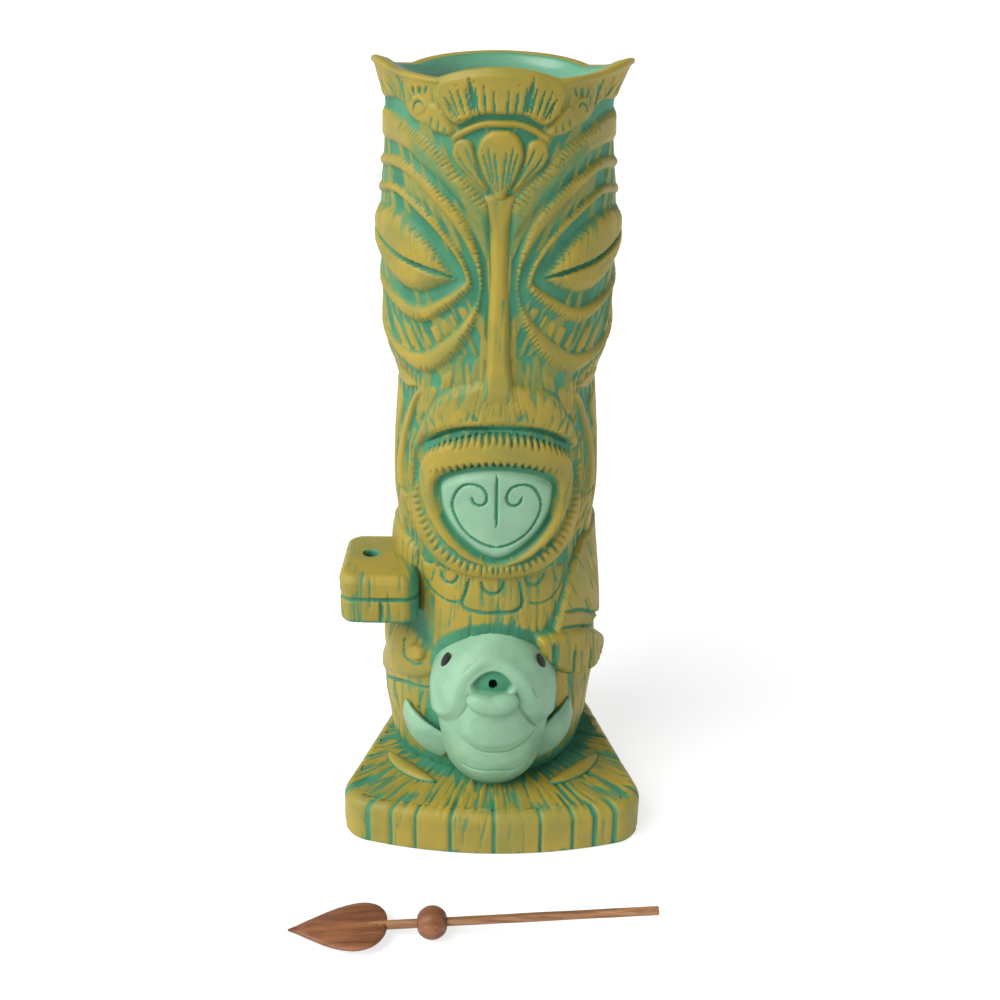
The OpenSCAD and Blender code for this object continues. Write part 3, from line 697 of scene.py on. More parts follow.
def carve_torso(s, z):
    belly = Relief(s, z)
    belly.bare[:] = 0.9
    belly.scores(1, s, z, 1.5, 11, 0.22, 0.75, 61)
    belly.scores(1, s, z, 2.6, 26, 0.3, 0.6, 62)
    for x, h, r in ((-26, 98, 3.2), (-16.5, 93.4, 3.4), (-0.5, 91.8, 3.9), (14.5, 93.4, 3.4),
                    (26, 98, 3.2), (34, 104, 3.0)):
        belly.cut([(x + r * math.sin(t), h - r * math.cos(t)) for t in np.linspace(-1.75, 1.75, 9)],
                  1.3, 0.9, 1)
    belly.cut([(-8.8, 93), (-9.4, 90), (-10.6, 86), (-11.2, 83.6), (-9.8, 81.8), (-5, 81), (0.5, 80.9),
               (5.6, 81.2), (9, 82.2), (10, 84.6), (9.6, 88), (9, 93)], 1.5, 1.0)
    for line, depth in (
            ([(-29, 96), (-28.4, 91), (-26, 87.5), (-20, 84.4), (-14.5, 83.4), (-12, 84.4)], 0.6),
            ([(12, 84.6), (15, 83.2), (20, 83.6), (24, 86), (26.8, 90), (28, 95)], 0.6),
            ([(-22.5, 94), (-23.4, 90), (-24, 88)], 0.5),
            ([(22, 94), (23.6, 90), (24.2, 88)], 0.5)):
        belly.cut(line, 1.0, depth)
    # green pockets under the fist, beside the fish and round the foot
    pocket = belly.area([(-66, 76), (-40, 79), (-27, 80), (-23, 72), (-20, 63), (-24, 61), (-33, 64),
                         (-44, 62), (-60, 58)], 5)
    elbow = belly.area([(16, 72), (20, 78), (26, 88), (34, 100), (42, 104), (44, 80), (30, 70), (30, 60),
                        (21, 50), (17, 60)], 3)
    foot = smooth((22.0 - z + 3.0 * (grain(s / 2.6, 0 * s, 63) - 0.5)) / 3)
    fish_side = belly.area([(-24, 62), (-21, 69), (-15.5, 74), (-8, 77.6), (0, 78.8), (8, 77.6), (15.5, 74),
                            (21, 69), (24, 62), (25, 46), (24, 28), (-24, 28), (-25, 46)], 2.6)
    for share in (pocket, elbow, foot, fish_side):
        belly.bare *= 1 - 0.97 * share
    belly.height -= 0.8 * pocket + 0.5 * elbow
    # hip motif and the folds of the right leg
    belly.raised([(-66, 46), (-55, 48), (-45, 54), (-36.5, 59), (-29, 60.4), (-23, 59.6), (-20.5, 57)],
                 [(-66, 40), (-55, 40), (-46, 44.6), (-38, 48), (-30, 50), (-25, 52), (-21, 55)], 1.0, 2.6)
    belly.raised([(-32, 60.6), (-31, 63.4), (-28, 64.4), (-25, 63), (-24.6, 60.6)],
                 [(-31.6, 60), (-29.4, 58.4), (-26.4, 58.6), (-24.6, 60)], 2.2, 1.2)
    belly.cut([(-35.6, 64.4), (-35.2, 60.6), (-32.6, 57.6), (-28, 56.8), (-24.4, 58.6)], 1.3, 0.9)
    belly.cut([(-70, 40), (-55, 38.6), (-44, 42.8), (-35, 46.4), (-26, 47.6), (-21.4, 50)], 1.6, 1.0, 6)
    for line in ([(-56, 37), (-51, 31), (-45, 24)], [(-49, 39), (-44, 32), (-39, 24)],
                 [(-29, 36), (-27.4, 41), (-25.4, 48)], [(-34, 33.4), (-30.5, 31.5), (-28, 27)],
                 [(-63, 40), (-60, 32), (-55, 24)], [(-70, 60), (-69, 46), (-66, 30)],
                 [(30, 50), (33, 42), (35, 28)], [(40, 49), (43, 40), (44, 26)],
                 [(52, 60), (54, 44), (52, 26)], [(62, 66), (63, 46), (60, 28)]):
        belly.cut(line, 1.2, 0.6, 5)
    # the back runs on in the head's plain vertical strokes
    behind = smooth((np.abs(s) - 68) / 8)
    belly.bare *= 1 - behind
    belly.strokes(behind * (1 - foot), -np.abs(s - TURN), z, 2.1, 22, 0.8, 0.95, 41, (0.34, 0.56))
    belly.height += 0.12 * (grain(s / 2.2, z / 2.6, 51) - 0.5)
    return belly


TORSO_TOP = 97.6
CUP_FLOOR = 23.0
outer_wall = [(UNROLL, z) for z in np.arange(torso_low, TORSO_TOP, 0.55)]
bowl = [(32.5, TORSO_TOP), (32.5, 80), (32.4, 60), (32.2, 40), (31.6, 28), (30.6, 25), (28.6, 23.5),
        (25, CUP_FLOOR), (12, CUP_FLOOR), (0.0, CUP_FLOOR)]
bm = turned(outer_wall + bowl + [(0.0, torso_low), (20.0, torso_low)], 0, 360, 420)
bmesh.ops.remove_doubles(bm, verts=bm.verts, dist=0.001 * MM)
torso = finished("torso", bm, olive_glaze, "olive_glaze", "mug", "vessel").data
co = points_of(torso)
angle, z = angle_of(co), co[:, 2]
out_side = rows_of(torso) < len(outer_wall)
belly = carve_torso(np.radians(angle) * UNROLL, z)
bowl_radius = np.hypot(co[:, 0], co[:, 1])
wrap(torso, np.where(out_side, torso_radius(angle, z) + belly.height, bowl_radius), angle, z)
mark(torso, "bare", belly.bare * out_side)
mark(torso, "lining", ~out_side)


# Nose, arms and hand: slabs of clay luted to the wall, carved and glazed with it.
# Each is a shell that follows the wall, and sinks just under it past its own outline.
def slab(name, wall, start, sweep, low, high, step, carve, node, material=olive_glaze, slot="olive_glaze"):
    heights = np.arange(low, high + step / 2, step)
    outline = [(UNROLL, z) for z in heights] + [(35.2, z) for z in heights[::-12]]
    bm = turned(outline, start, sweep, round(math.radians(sweep) * UNROLL / step))
    mesh = finished(name, bm, material, slot, "mug", node).data
    co = points_of(mesh)
    angle, z = angle_of(co), co[:, 2]
    relief = carve(np.radians(angle) * UNROLL, z)
    outer = rows_of(mesh) < len(heights)
    wrap(mesh, wall(angle, z) + np.where(outer, relief.height, -2.0), angle, z)
    mark(mesh, "bare", relief.bare)


def luted(s, z, outline, rise, soft):
    """Ground of a slab: under the wall outside its outline, and rounded up to its rise inside."""
    relief = Relief(s, z)
    share = relief.area(outline, soft)
    relief.height += -0.9 + (rise + 0.9) * share
    relief.bare += smooth((share - 0.25) / 0.5) * 0.92
    return relief


def carve_nose(s, z):
    half = np.interp(z, [146, 150, 155, 160, 166, 177, 192, 206, 213, 217],
                     [10.5, 9.0, 7.0, 5.2, 4.2, 3.9, 3.2, 3.4, 5.0, 6.4])
    x = s - TURN
    nose = Relief(s, z)
    share = smooth((half + 0.8 - np.abs(x)) / 3.4)
    ends = smooth((217 - z) / 3) * smooth((z - 146.5) / 12)
    bridge = 1.5 + 1.9 * smooth((196 - z) / 34)
    nose.height += -0.9 + (bridge + 0.9) * share * ends
    nose.bare += smooth((share * ends - 0.2) / 0.5) * 0.95
    nose.scores(share, x, z, 1.1, 12, 0.2, 0.75, 71)
    return nose


def carve_right_arm(s, z):
    arm = luted(s, z, [(-36, 101), (-30, 95), (-31, 84), (-34, 74), (-78, 74), (-78, 101)], 1.6, 2.4)
    arm.scores(1, s + 0.1 * z, z, 1.4, 14, 0.35, 0.8, 72)
    return arm


def carve_left_arm(s, z):
    arm = luted(s, z, [(42, 102), (36, 100), (30.5, 94.5), (26.5, 86.5), (23, 77), (21, 69), (34, 66),
                       (80, 66), (80, 101)], 2.0, 2.4)
    arm.scores(1, s + 0.55 * z, z, 1.1, 13, 0.35, 0.85, 73)
    arm.cut([(26, 78), (34, 75.6), (44, 70), (56, 63)], 1.6, 1.0)
    arm.cut([(24, 72.6), (34, 69.4), (46, 62), (56, 56)], 1.5, 0.9)
    cuff = arm.area([(24, 77), (34, 74.6), (56, 62), (56, 56), (46, 62.6), (34, 70), (24, 73)], 1)
    arm.bare = np.maximum(arm.bare, 0.9 * cuff)
    return arm


def carve_left_hand(s, z):
    hand = luted(s, z, [(13.6, 72.6), (24, 73), (38, 69), (50, 61), (53, 55), (48, 50.4), (41, 48.4),
                        (36, 49.2), (31, 50.4), (27, 52.4), (23.4, 55), (19, 58.6), (15.4, 63)], 4.2, 3.2)
    hand.scores(1, s, z, 1.1, 11, 0.3, 0.8, 74)
    # the gaps between the fingers
    hand.cut([(19.6, 70.5), (20, 64), (20.2, 57)], 1.7, 1.3, 3)
    hand.cut([(28.4, 65.5), (28, 58), (27.4, 51)], 1.7, 1.3, 3)
    hand.cut([(36.8, 62), (36.8, 55), (35.6, 49)], 1.6, 1.1, 3)
    return hand


slab("nose_bridge", head_radius, -34, 70, 145.5, 218, 0.5, carve_nose, "nose")
slab("upper_arm_right", torso_radius, -124, 84, 74, 106, 0.6, carve_right_arm, "right_arm")
slab("arm_left", torso_radius, 28, 96, 66, 105, 0.5, carve_left_arm, "left_arm")
slab("hand_left", torso_radius, 16, 70, 47.5, 74, 0.45, carve_left_hand, "left_hand")


# Tongue: a pad of clay set inside the lips, glazed mint after the rest was wiped.
# A groove runs down its middle, and a spiral is cut on each side.
def mint():
    """Satin mint glaze, darker in the folds: partly pooled glaze, partly painted shade."""
    finish = Finish("satin_mint_glaze", Roughness=0.42, Specular_IOR_Level=0.32)
    pool_and_shade = finish.attribute("bare")
    cloud, fine = finish.noise(120, 3), finish.noise(1800, 2)
    light = finish.mix(cloud.between(0.3, 0.7), (0.215, 0.385, 0.245, 1), (0.175, 0.325, 0.210, 1))
    # dark green for the folds: partly pooled glaze, partly painted shade
    folds = finish.mix(cloud, (0.025, 0.170, 0.085, 1), (0.040, 0.210, 0.110, 1))
    finish.feed(finish.shader.inputs["Base Color"],
                finish.mix((pool_and_shade + 0.12 * (fine - 0.5)).between(0.05, 0.8), folds, light))
    finish.feed(finish.shader.inputs["Roughness"], 0.5 - 0.1 * cloud)
    finish.bump(fine, 0.00004)
    return finish.material


mint_glaze = mint()


def carve_tongue(s, z):
    x = s - TURN
    pad = [(0, 132.6), (-11, 130.8), (-18.6, 126.6), (-19.4, 121.5), (-17.8, 115.4), (-11.6, 107.4),
           (0, 101), (11.6, 107.4), (17.8, 115.4), (19.4, 121.5), (18.6, 126.6), (11, 130.8)]
    tongue = luted(x, z, pad, 0.9, 3.0)
    tongue.bare[:] = 1
    spiral = [(-8, 123.5), (-7, 121), (-4.5, 120.5), (-3, 123), (-4.5, 126.5), (-8.5, 127.4),
              (-12, 125.4), (-14.2, 120), (-12.5, 114.5), (-9, 110), (-4, 107), (0, 106)]
    for side in (1, -1):
        tongue.cut([(side * a, b) for a, b in spiral], 1.1, 0.8, 1)
    tongue.cut([(0, 132), (0, 124), (0, 117), (0, 112)], 1.3, 0.9, 4)
    # painted shade: the mint darkens along the rim, in the recess under the lips
    tongue.bare *= tongue.area(pad, 1.6)
    return tongue


slab("tongue_pad", head_radius, -34, 70, 98, 134.5, 0.4, carve_tongue, "tongue", mint_glaze, "mint_glaze")


# Fist: a block of clay held out from the body, with an upright hole right through it for the spear.
# It is glazed and wiped with the mug, and a cut round it marks the folded fingers.
def arc(centre, radius, start, end, count):
    """Points of an arc; its angles run from the front."""
    turns = np.radians(np.linspace(start, end, count))
    return np.stack([centre[0] + radius * np.sin(turns), centre[1] - radius * np.cos(turns)], 1)


def on_arc(centre, radius, turn):
    return arc(centre, radius, turn, turn, 1)[0]


def reach_of(outline, angle):
    """How far a closed outline round the axis reaches in each direction."""
    return np.interp(angle, angle_of(outline), np.hypot(outline[:, 0], outline[:, 1]), period=360)


fist_low, fist_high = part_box("spear_fist")
BORE = 2.3                        # radius of the hole
bore_x, bore_y = -41.5, -16.0     # and where its axis stands
NARROWER = 3                      # the hand is this much slimmer than its block, on the outer side
left, right = fist_low.x / MM + NARROWER - bore_x, fist_high.x / MM - bore_x
front, back = fist_low.y / MM - bore_y, fist_high.y / MM - bore_y
corner = 5.6
fist_outline = flowing(np.concatenate([
    arc((right - corner, front + corner), corner, 0, 90, 10),
    arc((right - corner, back - corner), corner, 90, 180, 10),
    arc((left + corner, back - corner), corner, 180, 270, 10),
    arc((left + corner, front + corner), corner, 270, 360, 10)]), closed=True, step=0.6)
fist_bottom, fist_top = fist_low.z / MM, fist_high.z / MM
edge, foot_edge = 3.0, 1.8        # roundings of the block's top and bottom
# rows of the block: share of the way from the hole to the side, inset from it, and height
section = [(0, 0.0, z) for z in np.arange(fist_bottom + 0.4, fist_top - 0.5, 1.4)]
section += [(0, 0.1, fist_top - 0.35), (0, 0.6, fist_top)]
section += [(share, 0, fist_top) for share in np.linspace(0.08, 1, 22)[:-1]]
section += [(1, edge * (1 - math.sin(t)), fist_top - edge * (1 - math.cos(t)))
            for t in np.linspace(0, math.pi / 2, 9)]
section += [(1, 0, z) for z in np.arange(fist_top - edge - 0.5, fist_bottom + 2, -0.5)]
section += [(1, foot_edge * (1 - math.cos(t)), fist_bottom + foot_edge * (1 - math.sin(t)))
            for t in np.linspace(0, math.pi / 2, 5)]
section += [(share, 0, fist_bottom) for share in np.linspace(0.9, 0.06, 8)]
bm = turned([(BORE + 15 * a + 0.01 * i, z) for i, (a, b, z) in enumerate(section)], 0, 360, 260)
fist = finished("fist_block", bm, olive_glaze, "olive_glaze", "mug", "spear_fist").data
share, inset, level = np.array(section)[rows_of(fist)].T
angle = angle_of(points_of(fist))
edge_reach = reach_of(fist_outline, angle)
on_rim = share == 1
radius = np.where(share == 0, BORE + inset,
                  np.where(on_rim, edge_reach - inset, BORE + (edge_reach - edge - BORE) * share))
x, y = radius * np.sin(np.radians(angle)), -radius * np.cos(np.radians(angle))
round_way = np.where(np.abs(angle) < 40, x, 0.75 * edge_reach * np.radians(angle))
skin = Relief(round_way, level)
skin.bare[:] = 0.92
skin.scores(on_rim, round_way, level, 1.1, 8, 0.3, 0.85, 81)
skin.scores((share > 0) & ~on_rim, x + 0.2 * y, y, 1.6, 9, 0.12, 0.6, 82)
# the cut round the folded fingers, and the gaps between them
skin.cut([(-60, 84), (-20, 84.2), (-8, 83.8), (8, 84.2), (20, 84), (60, 84)], 1.8, 1.1, 1)
skin.cut([(4.4, 84), (4.6, 79.5), (4.2, 75)], 1.6, 1.0)
skin.cut([(-9.4, 89), (-9.6, 82), (-9.2, 76)], 1.4, 0.8)
skin.cut([(-17, 90), (-17.6, 82), (-17, 76)], 1.4, 0.8)
skin.bare *= np.where((np.abs(round_way) < 30) | (share < 1), 1, 0.75)
# green stays at the body, in the hole and along the bottom
skin.bare *= 1 - smooth((x - right + 5) / 4)
skin.bare *= smooth((radius - BORE - 0.3) / 0.8)
skin.bare *= smooth((level - fist_bottom - 0.6) / 1.5)
radius = radius + np.where(on_rim, skin.height, 0)
# the top falls a little towards its edge
sag = np.where((share > 0) & (level > fist_top - edge), 0.045 * np.maximum(radius - 6, 0), 0)
wrap(fist, radius, angle, level - sag, (bore_x, bore_y))
mark(fist, "bare", skin.bare)

# Plinth: the thick slab under the mug, with a long curved front and a rounded top edge.
# Grooves cross its edge, and tool strokes on its top run in towards the body.
plinth_low, plinth_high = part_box("plinth")
slab_top = plinth_high.z / MM
slab_half, toe = plinth_high.x / MM, -plinth_low.y / MM
front_r, corner_r, back_r = 150.0, 11.0, plinth_high.y / MM
front_y = front_r - toe
corner_x = slab_half - corner_r
corner_y = front_y - math.sqrt((front_r - corner_r) ** 2 - corner_x ** 2)
sweep_angle = math.degrees(math.asin(corner_x / (front_r - corner_r)))
side_angle = (math.degrees(math.atan2(corner_x, -corner_y))
              + math.degrees(math.acos((back_r - corner_r) / math.hypot(corner_x, corner_y))))
left_corner, right_corner, far_angle = (corner_x, corner_y), (-corner_x, corner_y), 360 - side_angle
slab_outline = np.concatenate([
    arc((0, front_y), front_r, -sweep_angle, sweep_angle, 60),
    arc(left_corner, corner_r, sweep_angle, side_angle, 30),
    np.linspace(on_arc(left_corner, corner_r, side_angle), on_arc((0, 0), back_r, side_angle), 24),
    arc((0, 0), back_r, side_angle, far_angle, 90),
    np.linspace(on_arc((0, 0), back_r, far_angle), on_arc(right_corner, corner_r, far_angle), 24),
    arc(right_corner, corner_r, far_angle, 360 - sweep_angle, 30)])
SLAB_EDGE = 4.2       # rounding of the top edge, mm
TOP_SHARE = 0.985     # share of the way out at which the flat top begins
# rows of the slab: share of the way out, inset, height, and how far the relief points upward
section = [(0.0, 0, 0, 0), (0.5, 0, 0, 0), (0.9, 0, 0, 0), (1, 1.0, 0, 0), (1, 0.3, 0.3, 0),
           (1, 0.0, 0.9, 0)]
section += [(1, 0, z, 0) for z in np.arange(1.5, slab_top - SLAB_EDGE, 0.55)]
section += [(1, SLAB_EDGE * (1 - math.cos(t)), slab_top - SLAB_EDGE * (1 - math.sin(t)), math.sin(t))
            for t in np.linspace(0, math.pi / 2, 9)]
section += [(a, 0, slab_top, 1) for a in np.linspace(TOP_SHARE, 0.40, 46)] + [(0.0, 0, slab_top, 1)]
bm = turned([(50 * a, z) if 0 < a < 1 else (50 - b if a else 0, z) for a, b, z, _ in section], 0, 360, 620)
bmesh.ops.remove_doubles(bm, verts=bm.verts, dist=0.001 * MM)
plinth = finished("plinth_slab", bm, olive_glaze, "olive_glaze", "mug", "plinth").data
share, inset, level, upward = np.array(section)[rows_of(plinth)].T
angle = angle_of(points_of(plinth))
reach = reach_of(slab_outline, angle)
on_rim = share == 1
radius = np.where(on_rim, reach - inset, (reach - SLAB_EDGE) * share / TOP_SHARE)
strip = Relief(np.where(on_rim, level, slab_top + reach - SLAB_EDGE - radius), angle)
run = strip.s
strip.bare[:] = 0.95
turn_mm = angle * 0.95
top = smooth((run - slab_top + 2) / 3)
strip.scores(top, turn_mm, run, 2.0, 15, 0.3, 0.85, 91)
strip.scores(top, turn_mm, run, 3.3, 24, 0.3, 0.8, 96)
strip.scores(smooth((run - slab_top + 1) / 3), turn_mm, run, 1.3, 8, 0.2, 0.7, 97)
strip.scores(smooth((slab_top + 1 - run) / 3), turn_mm, run, 2.6, 14, 0.25, 0.8, 92, (0.8, 0.98))
dabs = smooth((0.4 - run + 5.5 * (grain(turn_mm / 1.5, 0 * run, 93) - 0.55)) / 1.2)
strip.bare *= 1 - 0.8 * dabs
grooves = [math.degrees(math.atan2(x, toe)) for x in (-47, -37, -27, -14, 1, 17, 29, 38, 47)]
grooves += [side * turn for side in (-1, 1) for turn in (50, 62, 76, 92, 110, 130, 152)] + [176]
for i, at in enumerate(grooves):
    away = np.abs((angle - at + 180) % 360 - 180) * np.radians(1) * reach
    length = slab_top + 6 + 4 * math.sin(2.3 * i)
    groove = np.clip(1 - (away / 0.85) ** 2, 0, 1) * smooth((length - run) / 5)
    strip.height -= 0.9 * groove
    strip.bare *= 1 - smooth(2 * groove)
near_body = smooth((41.5 + 7 * (grain(turn_mm / 1.5, 0 * run, 94) - 0.5) - radius) / 4)
strip.bare *= 1 - near_body * ~on_rim
strip.height += 0.25 * (grain(turn_mm / 5, run / 5, 95) - 0.5) * (run > 2)
lift = strip.height * (level > 0.5)
wrap(plinth, radius + lift * (1 - upward), angle, level + lift * upward)
mark(plinth, "bare", strip.bare)


# Feet: two low crescents of clay on the plinth, at the front corners of the body.
# They are rubbed bare, so they stand out from the green band round it.
def lofted(sections):
    """Joins closed rings of points one after another, and closes both ends."""
    bm = bmesh.new()
    place = bm.verts.layers.int.new("place")
    ring = [bm.verts.new(p) for p in sections[0]]
    for i, v in enumerate(ring):
        v[place] = i
    edges = [bm.edges.new(pair) for pair in zip(ring, ring[1:] + ring[:1])]
    bmesh.ops.contextual_create(bm, geom=edges)
    for points in sections[1:]:
        grown = bmesh.ops.extrude_edge_only(bm, edges=edges)["geom"]
        edges = [g for g in grown if isinstance(g, bmesh.types.BMEdge)]
        for v in grown:
            if isinstance(v, bmesh.types.BMVert):
                v.co = points[v[place]]
    bmesh.ops.contextual_create(bm, geom=edges)
    bmesh.ops.recalc_face_normals(bm, faces=bm.faces)
    return bm


def oval(centre, across, up, half_width, half_height, count=28, square=1.0):
    """A ring of points in metres; a square of less than 1 flattens its sides."""
    ring = []
    for i in range(count):
        t = 2 * math.pi * i / count
        x, y = math.cos(t), math.sin(t)
        x, y = math.copysign(abs(x) ** square, x), math.copysign(abs(y) ** square, y)
        ring.append((Vector(centre) + Vector(across) * half_width * x + Vector(up) * half_height * y) * MM)
    return ring


for name, side in (("right", -1), ("left", 1)):
    rings = []
    for t in np.linspace(0.02, 0.98, 26):
        turn = math.radians(side * 43 + (t - 0.5) * 34)
        out = Vector((math.sin(turn), -math.cos(turn), 0))
        swell = math.sin(math.pi * t) ** 0.6
        rings.append(oval(out * 43.6 + Vector((0, 0, slab_top)), out, (0, 0, 1), 2.9 * swell,
                          2.1 * swell))
    piece = finished(f"foot_pad_{name}", lofted(rings), olive_glaze, "olive_glaze", "mug", f"foot_{name}")
    mark(piece.data, "bare", smooth((points_of(piece.data)[:, 2] - slab_top - 0.3) / 1.0))

# Fish: hugged upright against the belly, nose out. It is glazed mint, and its open mouth
# has a small drilled hole that the thin end of the spear can stand in.
FISH_Y = -29.0        # the fish's own axis, mm
FISH_UNROLL = 20      # radius at which its skin is unrolled, mm
fish_wall = profile([(14, 9.5), (17, 11.5), (20, 14.2), (25, 16.6), (34, 18.4), (42, 19.4), (50, 19.8),
                     (56, 19.2), (61, 17.8), (65.5, 15.4), (69, 12.6), (72, 9.2), (74.4, 5.4), (75.8, 2.0),
                     (76.1, 0.0)])


def carve_fish(s, z):
    fish = Relief(s, z)
    fish.bare[:] = 1
    folds = [(-34, 40), (-34, 80), (0, 84), (34, 80), (34, 40), (22, 41), (17, 43), (12.4, 48.6),
             (9.6, 54), (8.8, 59.6), (7, 62.8), (4, 64.8), (0.3, 65.6), (-3.4, 64.9), (-6.6, 62.9),
             (-8.8, 59.6), (-8.8, 55), (-9.6, 51.5), (-12, 46.6), (-16.5, 43), (-22, 41)]
    cheeks = fish.area(folds, 4.5)
    fish.height += 1.9 * cheeks * smooth((74 - z) / 12)
    roll = np.exp(-((np.hypot(s / 1.15, z - 59) - 9) / 2.2) ** 2) * smooth((z - 55) / 6)
    fish.height += 0.7 * roll
    mouth = fish.area([(-8.4, 59.8), (-6.6, 62.6), (-3.4, 64.6), (0.3, 65.3), (4, 64.5), (7, 62.4),
                       (8.4, 59.8), (6, 57), (0, 56.6), (-6, 57)], 1.5)
    fish.height -= 2.0 * mouth
    # painted shade, with some pooled glaze: the mint darkens inside the sunken mouth
    fish.bare *= 1 - 0.85 * mouth
    chin = fish.area([(-7, 54), (7, 54), (12, 48), (17.4, 41), (13, 37.6), (6, 35.6), (0, 35.2),
                      (-5, 35.6), (-9.4, 38), (-12, 42)], 4)
    fish.height += 0.9 * chin
    lobe = fish.area([(-11, 37), (-6, 34), (0, 33.4), (8, 34), (15, 37), (19, 30), (14, 22), (0, 19),
                      (-14, 22), (-18, 30)], 4)
    fish.height += 0.4 * lobe
    for line, width, depth in (
            ([(8.8, 59), (8.9, 54), (11, 49.6), (14.8, 44.4), (17, 42)], 1.5, 0.9),
            ([(-8.8, 58), (-8.6, 54), (-10, 50.4), (-12.4, 47)], 1.2, 0.5),
            ([(-11.5, 39), (-8, 37), (-4.3, 35.3), (0.1, 34.9), (6.5, 35.2), (10.3, 36.6),
              (14.4, 38.6), (18, 41.4)], 1.0, 0.7),
            ([(-12.2, 61.6), (-11, 64.6), (-8.8, 66.9), (-7, 68.2)], 1.0, 0.5),
            ([(13.8, 59.4), (14.4, 57), (16.2, 54)], 0.9, 0.45),
            ([(-14, 27.6), (-7.3, 26.4), (1.3, 26.8), (9, 26.2), (15, 28)], 1.1, 0.5)):
        before = fish.bare.copy()
        fish.cut(line, width, depth, 4)
        fish.bare = before * 0.55 + fish.bare * 0.45
    fish.bare *= 1 - 0.6 * smooth((20.5 - z) / 2.5)
    return fish


heights = np.concatenate([np.arange(15.4, 74, 0.42), np.linspace(74, 76.2, 10)])
bm = turned([(10.0, z) for z in heights] + [(0.0, heights[-1] - 0.01), (0.0, heights[0])], -112, 224, 200)
bmesh.ops.remove_doubles(bm, verts=bm.verts, dist=0.001 * MM)
fish_body = finished("fish_body", bm, mint_glaze, "mint_glaze", "mug", "fish").data
co = points_of(fish_body)
angle, z = angle_of(co), co[:, 2]
outer = rows_of(fish_body) < len(heights)
carved = carve_fish(np.radians(angle) * FISH_UNROLL, z)
radius = np.where(outer, fish_wall(z) + carved.height * smooth(fish_wall(z) / 8), 0.0)
wrap(fish_body, radius, angle, z, (0.0, FISH_Y))
# the drilled hole: points near its edge gather on the edge, and those inside go down it
HOLE_R, HOLE_DEPTH = 1.5, 9.0
mouth_at = np.array([0.0, -48.0, 62.0])
tilt = math.radians(30)
bore_axis = np.array([0, math.cos(tilt), -math.sin(tilt)])
co = points_of(fish_body)
depth_in = (co - mouth_at) @ bore_axis
side_way = co - mouth_at - depth_in[:, None] * bore_axis
off = np.linalg.norm(side_way, axis=1)
near = outer & (np.abs(depth_in) < 6)
edge_of_hole = near & (off > 1.15) & (off < 1.8)
sunk = near & (off <= 1.15)
co = np.where(edge_of_hole[:, None], co + side_way * (HOLE_R / np.maximum(off, 0.1) - 1)[:, None], co)
co = np.where(sunk[:, None], co + side_way * 0.2 + HOLE_DEPTH * bore_axis, co)
reshape(fish_body, co)
# painted shade: inside the hole the mint takes its dark fold tone
mark(fish_body, "bare", carved.bare * ~sunk)

# Lip, fins and eyes of the fish: the lip and fins are rolled and pressed on in clay, and the
# eyes are two beads of gloss black glaze.
rings = []
for t in np.linspace(-1, 1, 41):
    turn = math.radians(24.5 * t)
    out = Vector((math.sin(turn), -math.cos(turn), 0))
    end = math.sqrt(max(1 - abs(t) ** 2.6, 0.0004))
    centre = Vector((0, FISH_Y, 54.9 + 1.1 * abs(t) ** 1.5)) + out * 20.4
    rings.append(oval(centre, out, (0, 0, 1), 3.3 * end, (3.5 + 0.6 * abs(t)) * end))
lip = finished("fish_lower_lip", lofted(rings), mint_glaze, "mint_glaze", "mug", "fish_lip")
mark(lip.data, "bare", 1)

for name, side, line, widths in (
        ("right", -1, [(-16, 25), (-20.8, 28.2), (-24.6, 31.8), (-27.4, 35.8), (-29.4, 40.4)],
         [4.4, 6.4, 6.4, 4.4, 0.4]),
        ("left", 1, [(14.4, 26), (18.8, 29.6), (22.4, 33.4), (25.2, 37.4), (27.6, 42.4)],
         [4.4, 6.2, 6.2, 4.4, 0.4])):
    path = flowing(line, step=0.45)
    rings = []
    for i, (x, z) in enumerate(path):
        t = i / (len(path) - 1)
        half = np.interp(t, np.linspace(0, 1, 5), widths)
        before, after = path[max(i - 1, 0)], path[min(i + 1, len(path) - 1)]
        ahead = Vector((after[0] - before[0], 0, after[1] - before[1])).normalized()
        turn = math.asin(x / 38)
        wall = float(torso_radius(np.array(math.degrees(turn)), np.array(float(z))))
        up = Vector((math.sin(turn), -math.cos(turn), 0))
        wide = up.cross(ahead).normalized()
        centre = up * (wall + 0.8 + 1.2 * math.sin(math.pi * t)) + Vector((0, 0, z))
        ring = oval(centre, wide, up, half, 2.0 * math.sin(math.pi * (0.1 + 0.88 * t)) ** 0.7, 40)
        ribs = [0.42 * smooth(np.array((t - 0.45) / 0.2)) * (0.5 - 0.5 * math.cos(4 * 2 * math.pi * k / 40))
                for k in range(40)]
        rings.append([p - up * float(r) * MM for p, r in zip(ring, ribs)])
    fin = finished(f"fin_{name}", lofted(rings), mint_glaze, "mint_glaze", "mug", f"fish_fin_{name}")
    mark(fin.data, "bare", 1)

